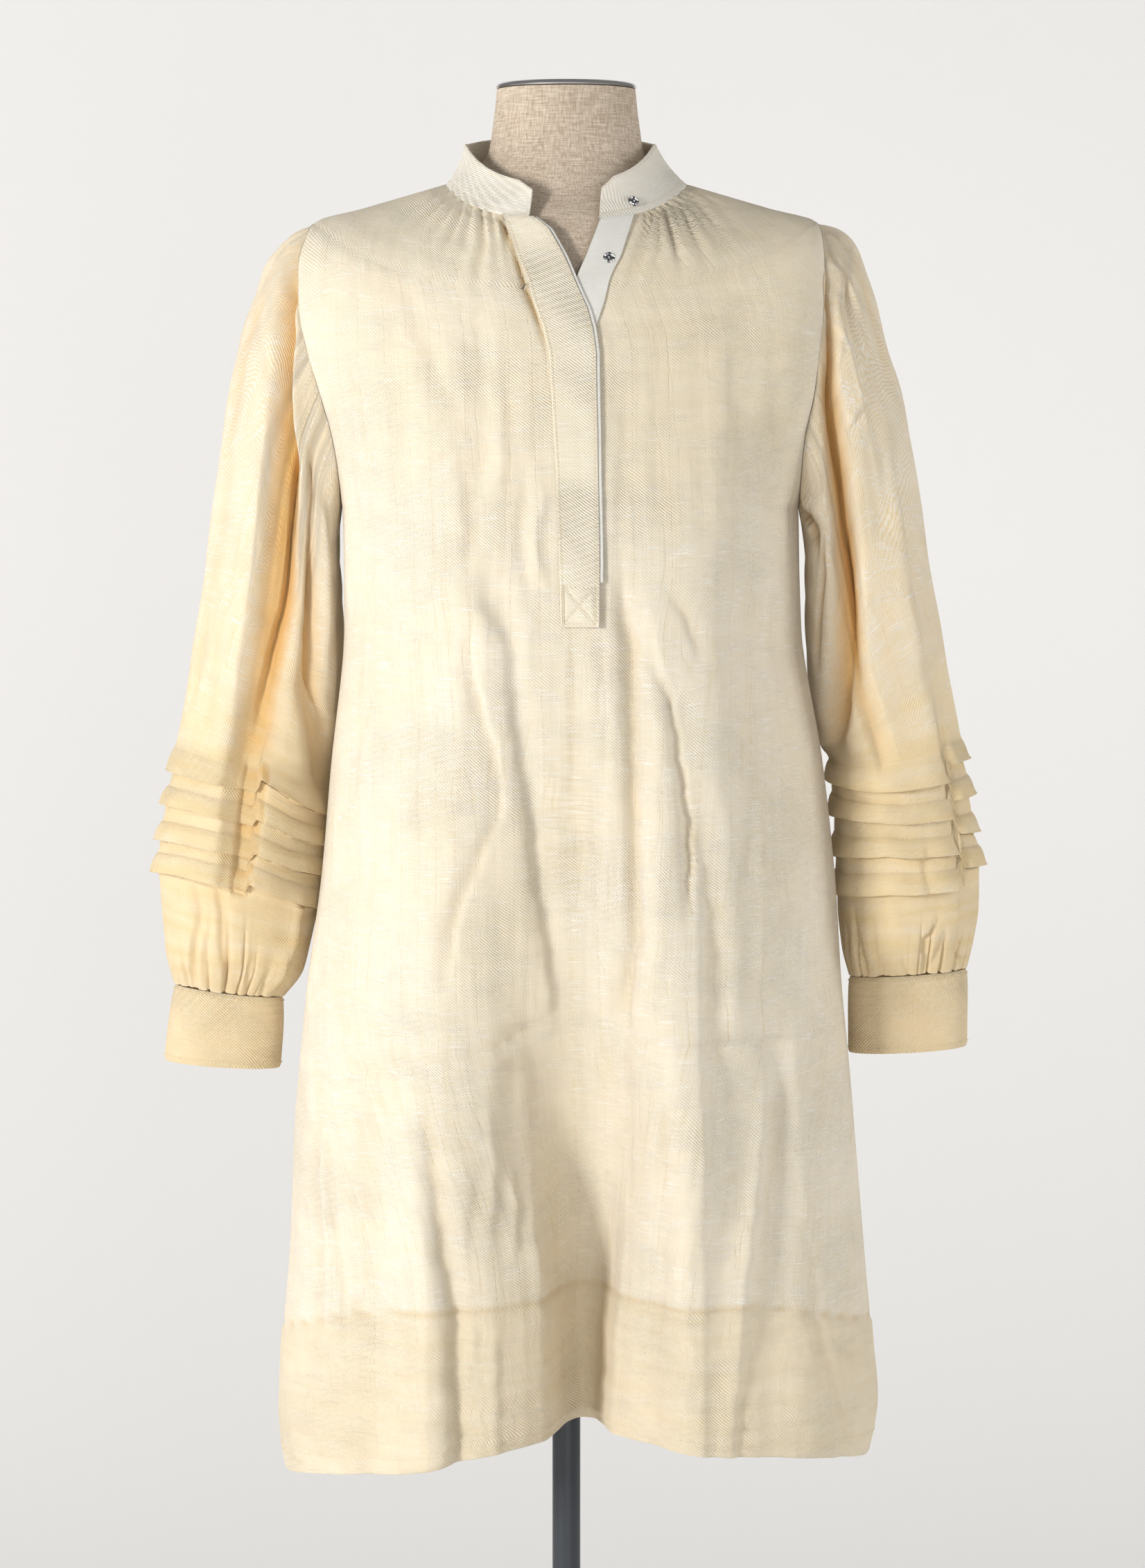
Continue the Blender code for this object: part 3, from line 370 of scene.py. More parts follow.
def cloth_look(name, light, deep, valley, pitch, twill, slub, crinkle, subsurface=0.06, fleck=130, dusk=0.9):
    """Woven cloth in the cloth's own metres: threads both ways, a fine twill, thick slubs and crinkles."""
    look = Look(name, light, 0.93, Sheen_Weight=0.10, Sheen_Roughness=0.5, Specular_IOR_Level=0.12)
    flat = look.wire("UVMap", 0, uv_map="cloth")
    sway = look.wire("TexNoise", "Color", (("Vector", flat), ("Scale", 38.0), ("Detail", 1.0)))
    place = look.wire("VectorMath", 0, ((0, sway), (1, (0.0035, 0.0035, 0)), (2, flat)), operation="MULTIPLY_ADD")
    u, v = (look.wire("SeparateXYZ", k, ((0, place),)) for k in (0, 1))
    weave = u.wave(pitch) * v.wave(pitch)
    slant = added(u, (v, 1.25)).wave(0.0027) * look.noise(place, (9, 12, 1)).span(0.40, 0.60, 0.15, 1.0)
    # slubs lie in groups of thin lines across the cloth
    slubs = look.noise(place, (52, 1350, 1), 1.0, 0.4).span(0.55, 0.64)
    slubs = slubs * look.noise(place, (24, 95, 1), 1.0).span(0.42, 0.60)
    gaps = look.noise(place, (40, 760, 1), 1.0).span(0.58, 0.72)
    long = look.noise(place, (900, 16, 1), 2.0, 0.6).span(0.48, 0.74)
    tall = look.noise(place, (110, 11, 1), 1.0)
    # thin sharp lines where a stretched noise passes its middle: upright crinkles, and a few long drawn threads
    line = look.noise(place, (58, 7, 1), 2.0, 0.45).from_middle().span(0.0, 0.030, 1.0, 0.0)
    line = line * look.noise(place, (24, 12, 1), 1.0).span(0.44, 0.60)
    drawn = look.noise(flat, (34, 0.35, 1), 0.0).from_middle().span(0.0, 0.010, 1.0, 0.0)
    drawn = drawn * look.noise(flat, (30, 420, 1), 1.0).span(0.40, 0.60)
    look.bump(added(weave * 0.13, (slant, 0.24 * twill), (slubs, 0.20 * slub), (gaps, -0.10 * slub),
                    (long, 0.16 * slub), (drawn, -0.30 * slub), (tall, 1.3 * crinkle), (line, -0.22 * crinkle)), 0.0012)
    shade = added(slubs * 1.05, (gaps, -0.16), (long, 0.26), (drawn, -0.40 * slub), (slant, 0.34 * twill),
                  (weave, 0.12), (line, -0.20 * crinkle))
    shade = shade.maths("ADD", look.noise(place, (14, 7, 1)).span(0.3, 0.7, 0.34, 0.54), clamp=True)
    # painted shade: the fold attribute takes the colour to the valley colour in folds, creases and under the tucks
    colour = look.mix(look.tone("fold"), look.mix(shade, deep, light), valley)
    # the tone attribute takes it towards the deep colour: the hem's own colour, and painted shade on the front and the
    # lower sleeves
    bands = look.noise(place, (10, 95, 1)).span(0.30, 0.66, 0.45 * dusk, dusk)
    colour = look.mix(look.tone("tone") * bands, colour, deep)
    if fleck:
        dots = look.wire("TexVoronoi", "Distance", (("Vector", place), ("Scale", fleck)))
        rare = look.wire("SeparateColor", 0, ((0, Wire(look, dots.socket.node.outputs["Color"])),))
        pick = dots.span(0.028, 0.045, 1.0, 0.0) * rare.maths("GREATER_THAN", 0.88)
        colour = look.mix(pick * 0.55, colour, (0.32, 0.23, 0.12))
    look.set(Base_Color=colour)
    if subsurface:
        look.set(Subsurface_Weight=subsurface, Subsurface_Radius=(1.0, 0.55, 0.25), Subsurface_Scale=0.006)
    return look.made


def linen_look():
    """Coarse linen: a basket weave round the form, with thicker threads here and there."""
    look = Look("form_linen", (0.52, 0.43, 0.34), 0.95, Specular_IOR_Level=0.2)
    place = look.place()
    drift = look.noise(place, (40, 40, 40)) * 4.0
    turn = 2 * math.pi / 0.0011
    across, upward = (look.wire("SeparateXYZ", k, ((0, place),)) for k in (0, 2))
    weave = added(drift, (across, turn)).maths("SINE") * added(drift, (upward, turn)).maths("SINE")
    threads = look.noise(place, (900, 900, 70), 2.0, 0.6) + look.noise(place, (90, 90, 1300), 2.0, 0.6)
    look.bump(added(threads, (weave, 0.30)), 0.0005, 0.9)
    shade = added(added(threads, (weave, 0.16)).span(0.75, 1.3) * 0.8, (look.noise(place, (18, 18, 18), 3.0), 0.30))
    look.set(Base_Color=look.mix(shade, (0.34, 0.25, 0.17), (0.76, 0.66, 0.54)))
    return look.made


def chrome_look():
    look = Look("chrome", (0.46, 0.45, 0.44), 0.14, 1.0)
    brushed = look.noise(look.place(), (60, 60, 2600))
    look.set(Roughness=brushed.span(0.3, 0.7, 0.10, 0.22))
    look.bump(brushed, 0.00005, 0.4)
    return look.made


def paint_look():
    look = Look("pole_paint", (0.040, 0.046, 0.054), 0.34, 0.35)
    cloud = look.noise(look.place(), (40, 40, 12), 3.0)
    look.set(Roughness=cloud.span(0.3, 0.7, 0.28, 0.42),
             Base_Color=look.mix(cloud, (0.034, 0.040, 0.047), (0.052, 0.058, 0.067)))
    look.bump(look.noise(look.place(), (1500, 1500, 1500)), 0.00004, 0.5)
    return look.made


def snap_look():
    look = Look("snap_metal", (0.56, 0.56, 0.56), 0.24, 1.0)
    # the tone attribute paints shade into the snap's grooves and notches
    look.set(Roughness=look.noise(look.place(), (900, 900, 900), 3.0).span(0.3, 0.7, 0.12, 0.26),
             Base_Color=look.mix(look.tone("tone"), (0.80, 0.80, 0.81), (0.06, 0.06, 0.065)))
    return look.made


def mottled(name, colour, roughness, dark, scale, detail, **more):
    """One colour that a noise takes down to the dark share of itself here and there."""
    look = Look(name, colour, roughness, **more)
    shade = look.noise(look.place(), (scale, scale, scale), detail)
    look.set(Base_Color=look.mix(shade, tuple(c * dark for c in colour), colour))
    return look.made


def thread_look(name, colour):
    return mottled(name, colour, 0.7, 0.82, 2200, 1.0, Sheen_Weight=0.2)


LOOKS = {look.name.split(".")[0]: look for look in (
    # name, light, deep, valley colour (painted shade in folds), thread pitch, twill, slub, crinkle
    cloth_look("body_cloth", (0.96, 0.885, 0.765), (0.82, 0.695, 0.495), (0.70, 0.50, 0.24), 0.00085, 1.0, 1.0, 1.0),
    cloth_look("collar_cloth", (0.98, 0.935, 0.85), (0.90, 0.82, 0.68), (0.70, 0.50, 0.24), 0.00085, 1.6, 0.5, 0.3),
    cloth_look("placket_cloth", (0.92, 0.85, 0.72), (0.82, 0.72, 0.54), (0.70, 0.50, 0.24), 0.00085, 1.6, 0.5, 0.3),
    cloth_look("sleeve_cloth", (0.97, 0.90, 0.785), (0.85, 0.655, 0.375), (0.80, 0.43, 0.09), 0.00080,
               0.8, 0.8, 0.45, dusk=1.0),
    cloth_look("cuff_cloth", (0.86, 0.715, 0.49), (0.77, 0.59, 0.35), (0.72, 0.46, 0.18), 0.00080,
               1.3, 0.7, 0.30, 0.10),
    cloth_look("facing_cloth", (0.94, 0.93, 0.88), (0.88, 0.86, 0.79), (0.80, 0.74, 0.60), 0.00060,
               0.0, 0.2, 0.3, 0, 0),
    linen_look(), chrome_look(), paint_look(), snap_look(),
    thread_look("thread", (0.78, 0.68, 0.50)), thread_look("sleeve_thread", (0.80, 0.66, 0.42)),
)}
# A slot name for each look: its own name, but for these.
SLOTS = {name: name for name in LOOKS}
SLOTS.update(collar_cloth="body_cloth", placket_cloth="body_cloth", cuff_cloth="sleeve_cloth",
             thread="body_cloth", sleeve_thread="sleeve_cloth")

# ---------------------------------------------------------------- looks only
CLOTH = 0.0009          # wall of the shown cloth
SLEEVE_CLOTH = 0.0007
HEM_CLOTH = 0.0009      # its turned-up part
HEM_ROWS = (18.93, 18.97, 18.99)    # close rows at its fold
SHOWN_SET = 0.0003      # shown sleeve head to armhole edge

# Creases that are too fine for the solid, at places (x, z).
FINE_FRONT = creases("""
-112.6 1344 -92.3 1287 -77.9 1253 | 8 10 | 1.6
-126 1321 -118.5 1257 -124.3 1177 | 12 12 | 1.4
-43.5 1294 -39.3 1235 -44.2 1177 | 4 9 | 1.3
-61.7 1319 -56.8 1255 -61.7 1197 | 7 4 | 1
-73.4 1222 -67 1181 -70.4 1153 | 3 7 | 2.2
-16.2 1198 -22.5 1163 -15.6 1139 | 7 4 | -2.6
-28.7 1212 -33.5 1172 -28.5 1134 | 4 5 | 1.6
42.9 1274 40 1206 36.9 1143 | 4 8 | 1.6
67.5 1303 63.9 1236 65.7 1177 | 5 9 | 1.4
94.9 1304 91.6 1237 97 1168 | 8 10 | 1.4
119 1297 122.6 1236 119.5 1158 | 5 8 | 1.2
150.6 1315 154.4 1236 151.4 1163 | 6 9 | 1.6
-66 1125 -47.2 1096 -45.2 1050 -39 1009 -32.3 976 -27.9 930 -17.4 883 -9.7 823 | 16 5 | -5
-67.8 1080 -62.4 1050 -50.3 1009 -46.3 976 -63.1 939 -78.4 903 -84.2 863 | 6 2.4 | 3.6
41.6 1125 50.9 1096 51 1029 51.2 984 50.9 922 53.2 883 42.6 852 39.9 823 | 9 2 | 5
58.5 1125 66.5 1080 65.1 984 63 922 65.5 883 55.1 842 | 9 14 | -2.8
59.7 1089 75.4 1050 81.4 1009 88.4 969 88.5 922 86.7 903 | 7 2.2 | 4.2
70.7 1130 85.2 1109 91.8 1089 | 3 7 | 2.6
97.5 961 102.2 913 102.9 863 101.9 814 | 5 10 | 3.4
133.1 1061 136.7 1000 129.1 913 | 6 9 | 1.6
146.3 969 151.3 903 144.5 842 | 9 5 | -1.8
169 1103 172.4 1029 177.3 903 | 8 10 | 1.4
7.2 1096 5.4 1009 8.9 913 | 4 7 | 1
24.6 1109 28.1 1029 23.7 939 | 5 4 | 1
-127.7 1109 -131.2 1009 -139.5 883 | 12 10 | 1.6
-101.5 1129 -104.7 1029 -102.2 930 | 8 10 | 1.4
-154.9 992 -160 903 -162.5 814 | 8 6 | 1.6
-182.6 782 -179.9 749 -187.1 697 -180 651 -183 588 | 3 4 | 3.4
-175.5 740 -173.4 685 -165.5 641 -161.7 595 | 2.6 3.6 | 3.4
-178.7 749 -176.3 685 -175 617 | 3.5 3.5 | -2
-100 749 -93.9 697 -89.2 652 -80.3 610 -81.7 572 -76.7 529 | 3 8 | 3.6
-109.6 740 -103.6 674 -93.3 603 -90.1 530 | 10 5 | -2
-70 604 -65.1 591 -71.2 568 | 3 3 | -2.4
-37.3 709 -34.3 686 -36.6 653 | 5 3 | -2.6
-57.8 758 -50.7 720 -55.6 663 | 4 4 | -1.8
-63.7 709 -68.8 663 -64.2 618 | 4 5 | 1.8
-23.3 782 -20.2 663 -11.8 620 | 8 3.5 | -2.2
-51.3 598 -52.1 564 -51.8 529 | 5 4 | -2.2
42.8 806 52.1 730 47.5 613 | 16 16 | -3
66.5 782 71.9 697 64.3 606 | 7 5 | 1.8
93.6 790 96.9 709 88.2 619 | 16 4 | -3.4
152.3 782 142.9 709 130.1 627 118.5 530 | 8 6 | -4.4
165.3 774 155.8 697 142.8 605 128.5 530 | 5 9 | 2.6
185.5 653 189.4 581 202.9 522 | 4 6 | 2.8
172.3 806 178.1 730 188.5 653 | 8 8 | -1.8
61.6 606 57.1 562 63.8 526 | 6 6 | 1.6
85.8 612 92.2 581 83.4 541 | 8 4 | -2
-138.9 774 -142.6 685 -145.2 526 | 12 9 | 1.8
-117.6 758 -115.2 673 -122.7 527 | 10 8 | -1.6""")
# Creases across the front and back, at places (x, z), with half heights.
CROSS_FRONT = creases("""
-173 774 -144 782 -100 790 -64 798 -18 814 -7 823 | 2 6 | 3.2
-169 766 -139 774 -87 782 -39 798 | 5 5 | -1.4
35 806 95 806 158 806 | 2 6 | 2.6
-128 1109 -87 1096 -39 1080 | 7 7 | 1
42 1096 85 1103 141 1089 | 7 7 | 1
-128 576 -79 572 -18 587 | 3 4 | 0.9
37 582 82 581 152 565 | 3 4 | 0.9
-170 529 -87 531 -17 539 | 3 4 | 0.8
41 546 92 541 167 528 | 3 4 | 0.8""")
FINE_BACK = creases("""
30 1330 28 1200 20 1060 | 12 | 2
-36 1330 -32 1180 -30 1040 | 12 | 1.8
96 1320 98 1180 104 1060 | 12 | 1.6
-94 1310 -100 1180 -104 1040 | 12 | 1.8
36 1020 44 860 48 640 | 12 | -2.6
-34 1000 -44 840 -50 600 | 12 | -2.8
96 960 104 800 112 560 | 12 | -2.2
-98 980 -110 800 -118 560 | 12 | -2.4
150 900 160 760 172 500 | 10 | 2.2
-152 920 -164 760 -176 500 | 10 | 2.2
26 760 32 640 34 500 | 10 | 2""")
CROSS_BACK = creases("""
-150 1150 0 1120 140 1146 | 12 | 1.4
-120 1086 10 1062 120 1090 | 10 | 1.2
-180 806 -20 830 160 812 | 6 | 1.2""")
# Gathers under the collar, at places (x, z) down each.
GATHERS_FRONT = creases("""
-38.2 1387.6 -32.5 1363.1 -26.8 1336.5 | | 3
-45.2 1398 -42.7 1374.8 -34.8 1346.9 | | 3.2
-54.1 1400.1 -49.5 1379.2 -46.9 1356.5 | | 2.2
-61.3 1402.5 -58.6 1378.6 -63.7 1354.2 | | 3.6
-67.9 1405.3 -72.4 1383.3 -74.5 1367.2 | | 2
-74.5 1408.9 -80.3 1389.9 -87 1373.8 | | 3
-79.4 1412.2 -88.4 1395.5 -96.8 1381.1 | | 2.4
-84.4 1416.5 -95.3 1404.5 -108.5 1391.5 | | 2.8
-86.5 1422.3 -100 1411.3 -113.1 1405.2 | | 1.8
56.7 1392.1 49.4 1367.9 39.9 1338.9 | | 2.4
61.5 1396.4 55.2 1370.4 47.7 1344.3 | | 3
66.2 1401.1 66.5 1377.9 61.6 1354 | | 2
70.5 1402.9 77.5 1378 82.4 1360.3 | | 4.2
76 1405.7 82.7 1386.2 89.3 1372.2 | | 2.2
80.2 1410.5 91.5 1384.3 99.8 1363.5 | | 3.6
83.6 1413.1 98.4 1392.4 108.8 1377.8 | | 2.4
85.9 1418.1 104.2 1395.4 116.5 1375.3 | | 3
87.4 1423.5 108.4 1408.9 122.1 1389.4 | | 1.8""")


# ---------------------------------------------------------------- curves through tables
def smooth(table, at):
    """The table's columns at fractional rows `at`: a curve through the rows that never overshoots them."""
    at = np.asarray(at, dtype=float)
    slope = np.diff(table, axis=0)
    tangent = np.zeros_like(table)
    same = slope[:-1] * slope[1:] > 0
    safe = np.where(same, slope[:-1] + slope[1:], 1.0)
    tangent[1:-1] = np.where(same, 2 * slope[:-1] * slope[1:] / safe, 0.0)
    tangent[0], tangent[-1] = slope[0], slope[-1]
    i = np.clip(np.floor(at).astype(int), 0, len(table) - 2)
    s = (at - i)[..., None]
    return (
        (1 + 2 * s) * (1 - s) ** 2 * table[i]
        + s * (1 - s) ** 2 * tangent[i]
        + s * s * (3 - 2 * s) * table[i + 1]
        + s * s * (s - 1) * tangent[i + 1]
    )


def smooth_line(xs, ys, x):
    place = np.interp(x, xs, np.arange(len(xs)))
    return smooth(np.array(ys, dtype=float)[:, None], place)[..., 0]


def line_at(places, z):
    """x at height z on a line of (x, z) places, top first, held at its ends."""
    xs, zs = np.array(places, dtype=float).T
    return np.interp(z, zs[::-1], xs[::-1])


def signed(degrees):
    return (degrees + 180) % 360 - 180


def ease(x):
    x = np.clip(x, 0.0, 1.0)
    return x * x * (3 - 2 * x)


def bell(x):
    return np.exp(-x * x)


def rolled(share):
    """How far a rounded edge has dropped: 1 at the edge, where share is 0, and 0 from share 1 on."""
    return 1 - np.sqrt(np.clip(1 - (1 - np.minimum(share, 1)) ** 2, 0, 1))


def unit(vectors):
    return vectors / np.maximum(np.linalg.norm(vectors, axis=-1, keepdims=True), 1e-12)


def points_of(x, y, z):
    return np.stack(np.broadcast_arrays(x, y, z), axis=-1).astype(float)


def lengths(points):
    """How far along a line of points each one lies."""
    return np.concatenate([[0.0], np.cumsum(np.linalg.norm(np.diff(points, axis=0), axis=1))])


def ring_index(rows, cols):
    """The numbers of a grid of points whose rows close on themselves."""
    index = np.arange(rows * cols).reshape(rows, cols)
    return np.concatenate([index, index[:, :1]], axis=1)


# ---------------------------------------------------------------- body surface
def arm_x(degrees, side):
    return smooth_line(ARM_LOOP[:, 0], ARM_LOOP[:, 1 if side < 0 else 2], degrees)


def body_row(table, at):
    row = dict(zip(ROW, np.moveaxis(smooth(table, at), -1, 0)))
    on_arm = (at >= ARM_TOP) & (at <= ARM_FOOT)
    arm_rows = np.arange(ARM_TOP, ARM_FOOT + 1)
    degrees = np.interp(at, arm_rows, table[arm_rows, ROW.index("psi")])
    angle = np.radians(degrees)
    side = 1 if table is BACK else -1
    row["xn"] = np.where(on_arm, arm_x(degrees, -1) + row["mid"], row["xe"])
    row["xe"] = np.where(on_arm, arm_x(degrees, 1) - row["mid"], row["xe"])
    row["ye"] = np.where(on_arm, side * ARM_Y * np.sin(angle), row["ye"])
    row["ze"] = np.where(on_arm, ARM_Z + ARM_HALF * np.cos(angle), row["ze"])
    row["drop"] = ease((at - 15.0) / 4.0)
    return row


def row_u(row, x):
    """How far round the row the place with this x is, -1 to 1."""
    turn = row["wrap"] * math.pi / 2
    reach = np.where(x > row["mid"], row["xe"], row["xn"])
    return np.arcsin(np.clip((x - row["mid"]) * np.sin(turn) / reach, -1.0, 1.0)) / turn


def row_point(row, u):
    turn = row["wrap"] * math.pi / 2
    a = np.minimum(np.abs(u), 1.0)
    reach = np.where(u > 0, row["xe"], row["xn"])
    x = np.sign(u) * reach * np.sin(a * turn) / np.sin(turn) + row["mid"]
    left = np.maximum((np.cos(a * turn) - np.cos(turn)) / (1 - np.cos(turn)), 0.0)
    y = row["ye"] + (row["yc"] - row["ye"]) * left ** row["full"]
    z = row["zc"] + (row["ze"] - row["zc"]) * np.sin(math.pi / 2 * a ** 2.3)
    z = z - row["drop"] * np.where(u < 0, HEM_DROP[0], HEM_DROP[1]) * ease(a / 0.45)
    return points_of(x, y, z)


def centre_fold(points):
    """How far back the deep centre fold takes each place of the front."""
    x, z = points[..., 0], points[..., 2]
    low, high = (smooth_line(FOLD[:, 0], FOLD[:, k], np.clip(x, FOLD[0, 0], FOLD[-1, 0])) for k in (1, 2))
    turn = ease((FOLD_TURN[1] - z) / (FOLD_TURN[1] - FOLD_TURN[0]))
    return np.interp(z, FOLD_Z, FOLD_IN) * (high + (low - high) * turn)


def beside(distance, half):
    """How much of a crease is left at this distance from it, by its half width on the low and the high side."""
    return bell(distance / np.where(distance < 0, *half))


def crease_depth(points, creases):
    x, z = points[..., 0], points[..., 2]
    total = np.zeros_like(x)
    for places, half, depth in creases:
        top, bottom = places[0, 1], places[-1, 1]
        reach = min(0.06, 0.45 * (top - bottom) + 0.01)
        fade = ease((top + reach / 2 - z) / reach)
        if bottom > 0.535:
            fade = fade * ease((z - bottom + reach / 2) / reach)
        wander = 0.0007 * np.sin(z * 210 + 40 * places[0, 0]) + 0.0004 * np.sin(z * 517)
        total += depth * fade * beside(x - line_at(places, z) + wander, half)
    return total


def cross_depth(points, creases):
    x, z = points[..., 0], points[..., 2]
    total = np.zeros_like(x)
    for places, half, depth in creases:
        xs, zs = places.T
        fade = ease((x - xs[0] + 0.02) / 0.04) * ease((xs[-1] + 0.02 - x) / 0.04)
        total += depth * fade * beside(z - np.interp(x, xs, zs) - 0.0012 * np.sin(x * 160), half)
    return total


def gather_lift(points, gathers):
    """Folds that start sharp and close at the collar, then widen and fade."""
    x, z = points[..., 0], points[..., 2]
    total = np.zeros_like(x)
    for places, _, depth in gathers:
        top, bottom = places[0, 1], places[-1, 1]
        share = (top - z) / (top - bottom)
        half = 0.0016 + 0.0034 * np.clip(share, 0, 2)
        s = (x - line_at(places, z)) / half
        total -= (1.5 * depth * ease((share + 0.30) / 0.30) * ease((1.45 - share) / 1.2)
                  * (bell(s) - 0.45 * bell(s / 2.0)))
    return total


def crinkle_lift(u, at, seed):
    """Small upright crinkles all over, a few of them sharp, fewer at the shoulders."""
    wave = np.zeros(np.broadcast(u, at).shape)
    for n, (count, slow, high) in enumerate(((15, 0.6, 0.6), (27, 1.1, 0.5), (43, 1.9, 0.4), (71, 2.7, 0.22))):
        phase = seed * (n + 1.7)
        bend = 1.5 * np.sin(at * slow + 5 * u + phase) + 0.9 * np.sin(at * slow * 2.3 - 3 * u + 2 * phase)
        here = np.clip(0.3 + 0.8 * np.sin(at * slow * 1.4 + 11 * u + 3 * phase), 0, 1)
        ridge = 1 - 2 * np.abs(np.sin((u * count + bend) / 2 + phase))
        wave = wave + high * here * ridge
    return 0.0008 * wave * (0.15 + 0.85 * ease((at - 3.5) / 4.0))


def under_edge(points):
    """Where the gathers tuck under the placket's left edge, 0 to 1."""
    x, z = points[..., 0], points[..., 2]
    edge = beside(x - line_at(OVER_LEFT, z) + 0.0012, (0.0024, 0.0012))
    return edge * ease((z - 1.285) / 0.05) * ease((1.400 - z) / 0.008)


def broad_lift(points):
    """The front's soft large forms: a hollow between two ridges, and a plane that turns away on the right."""
    x, z = points[..., 0], points[..., 2]
    centre = np.interp(z, (0.62, 0.70, 0.76, 0.885, 0.96, 1.10, 1.27),
                       (0.034, 0.030, 0.024, 0.006, -0.003, -0.006, 0.0))
    deep = np.interp(z, (0.52, 0.60, 0.66, 0.76, 0.885, 1.05, 1.18, 1.26),
                     (0.0, 0.005, 0.012, 0.0165, 0.0155, 0.0105, 0.0040, 0.0))
    here = ease((1.31 - z) / 0.14) * ease((z - 0.54) / 0.20)
    ridges = 0.0050 * bell((x + 0.084) / 0.040) + 0.0055 * bell((x - 0.088) / 0.034)
    away = np.interp(z, (0.50, 0.62, 1.12, 1.28, 1.38), (0.0, 0.012, 0.011, 0.004, 0.0))
    return ridges * here - deep * beside(x - centre, (0.070, 0.036)) - away * ease((x - 0.092) / 0.075)


def body_base(table, u, at):
    u, at = np.broadcast_arrays(np.asarray(u, dtype=float), np.asarray(at, dtype=float))
    points = row_point(body_row(table, at), u)
    # the shoulder turns softly into the chest
    reach = 0.9 * ease((at - 1.0) / 1.2) * ease((5.6 - at) / 1.2)
    around = row_point(body_row(table, at - reach), u) + row_point(body_row(table, at + reach), u)
    points = points + (around - 2 * points) * (0.26 * (1 - np.abs(u) ** 8))[..., None]
    if table is FRONT:
        points[..., 1] += centre_fold(points)
    return points


def body_normal(table, u, at):
    along = body_base(table, np.minimum(u + 0.02, 1), at) - body_base(table, np.maximum(u - 0.02, -1), at)
    down = body_base(table, u, np.minimum(at + 0.1, LAST_ROW)) - body_base(table, u, np.maximum(at - 0.1, 0))
    normal = np.cross(down, along) if table is FRONT else np.cross(along, down)
    flat = (np.abs(u) > 0.999) & ~((at > ARM_TOP) & (at < ARM_FOOT))
    normal[..., 1] = np.where(flat, 0.0, normal[..., 1])
    return unit(normal)


def body_valley(table, u, at):
    """How deep in a fold the cloth lies, 0 to 1: less light reaches it and what does is warmer."""
    points = body_base(table, u, at)
    x, z = points[..., 0], points[..., 2]
    deep = 0.0
    if table is FRONT:
        deep = 0.30 * ease((x + 0.004) / 0.016) * ease((0.032 - x) / 0.008) * ease((0.66 - z) / 0.10)
        deep = deep + 0.9 * under_edge(points) - np.clip(gather_lift(points, GATHERS_FRONT), -1, 0) * 60
    creases = crease_depth(points, FINE_FRONT if table is FRONT else FINE_BACK)
    # painted shade along the hem's stitched groove
    seam = 0.5 * bell((at - hem_row(u)) / 0.030)
    return np.clip(np.maximum(deep + np.clip(creases, 0, 1) * 45, seam), 0, 0.8)


def painted_front_shade(u, at):
    """Painted shade on the front, 0 to 1: the upper chest, most on its right where it turns up and away from the light,
    and a band down the left side of the centre fold look fuller in colour.
    """
    points = body_base(FRONT, u, at)
    x, z = points[..., 0], points[..., 2]
    chest = (0.38 + 0.50 * ease((x - 0.01) / 0.06)) * ease((z - 1.15) / 0.12)
    middle = np.interp(z, (0.60, 0.76, 0.90, 1.05), (0.004, -0.012, -0.030, -0.032))
    flank = 0.55 * beside(x - middle, (0.050, 0.030)) * ease((1.10 - z) / 0.25)
    return np.maximum(chest, flank) * (1 - np.abs(u) ** 10)


def hem_row(u):
    """The row of the hem's stitch line, one hem's depth above the edge all round."""
    return 16.28 + 0.45 * ease((np.abs(u) - 0.35) / 0.65)


def body_outer(table, u, at, plain=False):
    """(points, normals) of the shown outer face of the front or back."""
    u, at = np.broadcast_arrays(np.asarray(u, dtype=float), np.asarray(at, dtype=float))
    points = body_base(table, u, at)
    out = body_normal(table, u, at)
    calm = 1 - np.abs(u) ** 6
    front = table is FRONT
    lift = -crease_depth(points, CREASES if front else BACK_CREASES) * calm
    if front:
        lift += broad_lift(points) * calm
    if not plain:
        lift -= crease_depth(points, FINE_FRONT if front else FINE_BACK) * calm
        lift -= cross_depth(points, CROSS_FRONT if front else CROSS_BACK) * calm
        lift += crinkle_lift(u, at, 1.0 if front else 2.0) * calm
        if front:
            lift += gather_lift(points, GATHERS_FRONT) * calm
            lift -= 0.0045 * under_edge(points)
        else:
            wave = np.sin(u * 58 + 1.4 * np.sin(u * 9)) * (0.7 + 0.3 * np.sin(u * 23))
            lift += 0.0014 * wave * calm * ease((3.6 - at) / 3.0) * ease(at / 0.5 + 0.2)
        s = (at - hem_row(u)) / 0.030
        lift += 0.0010 * ease(0.5 + s / 2) - 0.0019 * bell(s)
        # the turned-up hem is stiffer: long uneven ripples lie across it
        ripples = (np.sin(at * 7.5 + 3.0 * np.sin(u * 5.0)) * np.sin(u * 9.0 + 1.0)
                   + 0.6 * np.sin(at * 13.0 - 2.0 * np.sin(u * 8.0 + 1.0)))
        lift += ease(s / 6) * calm * 0.0007 * ripples
    return points + out * lift[..., None], out


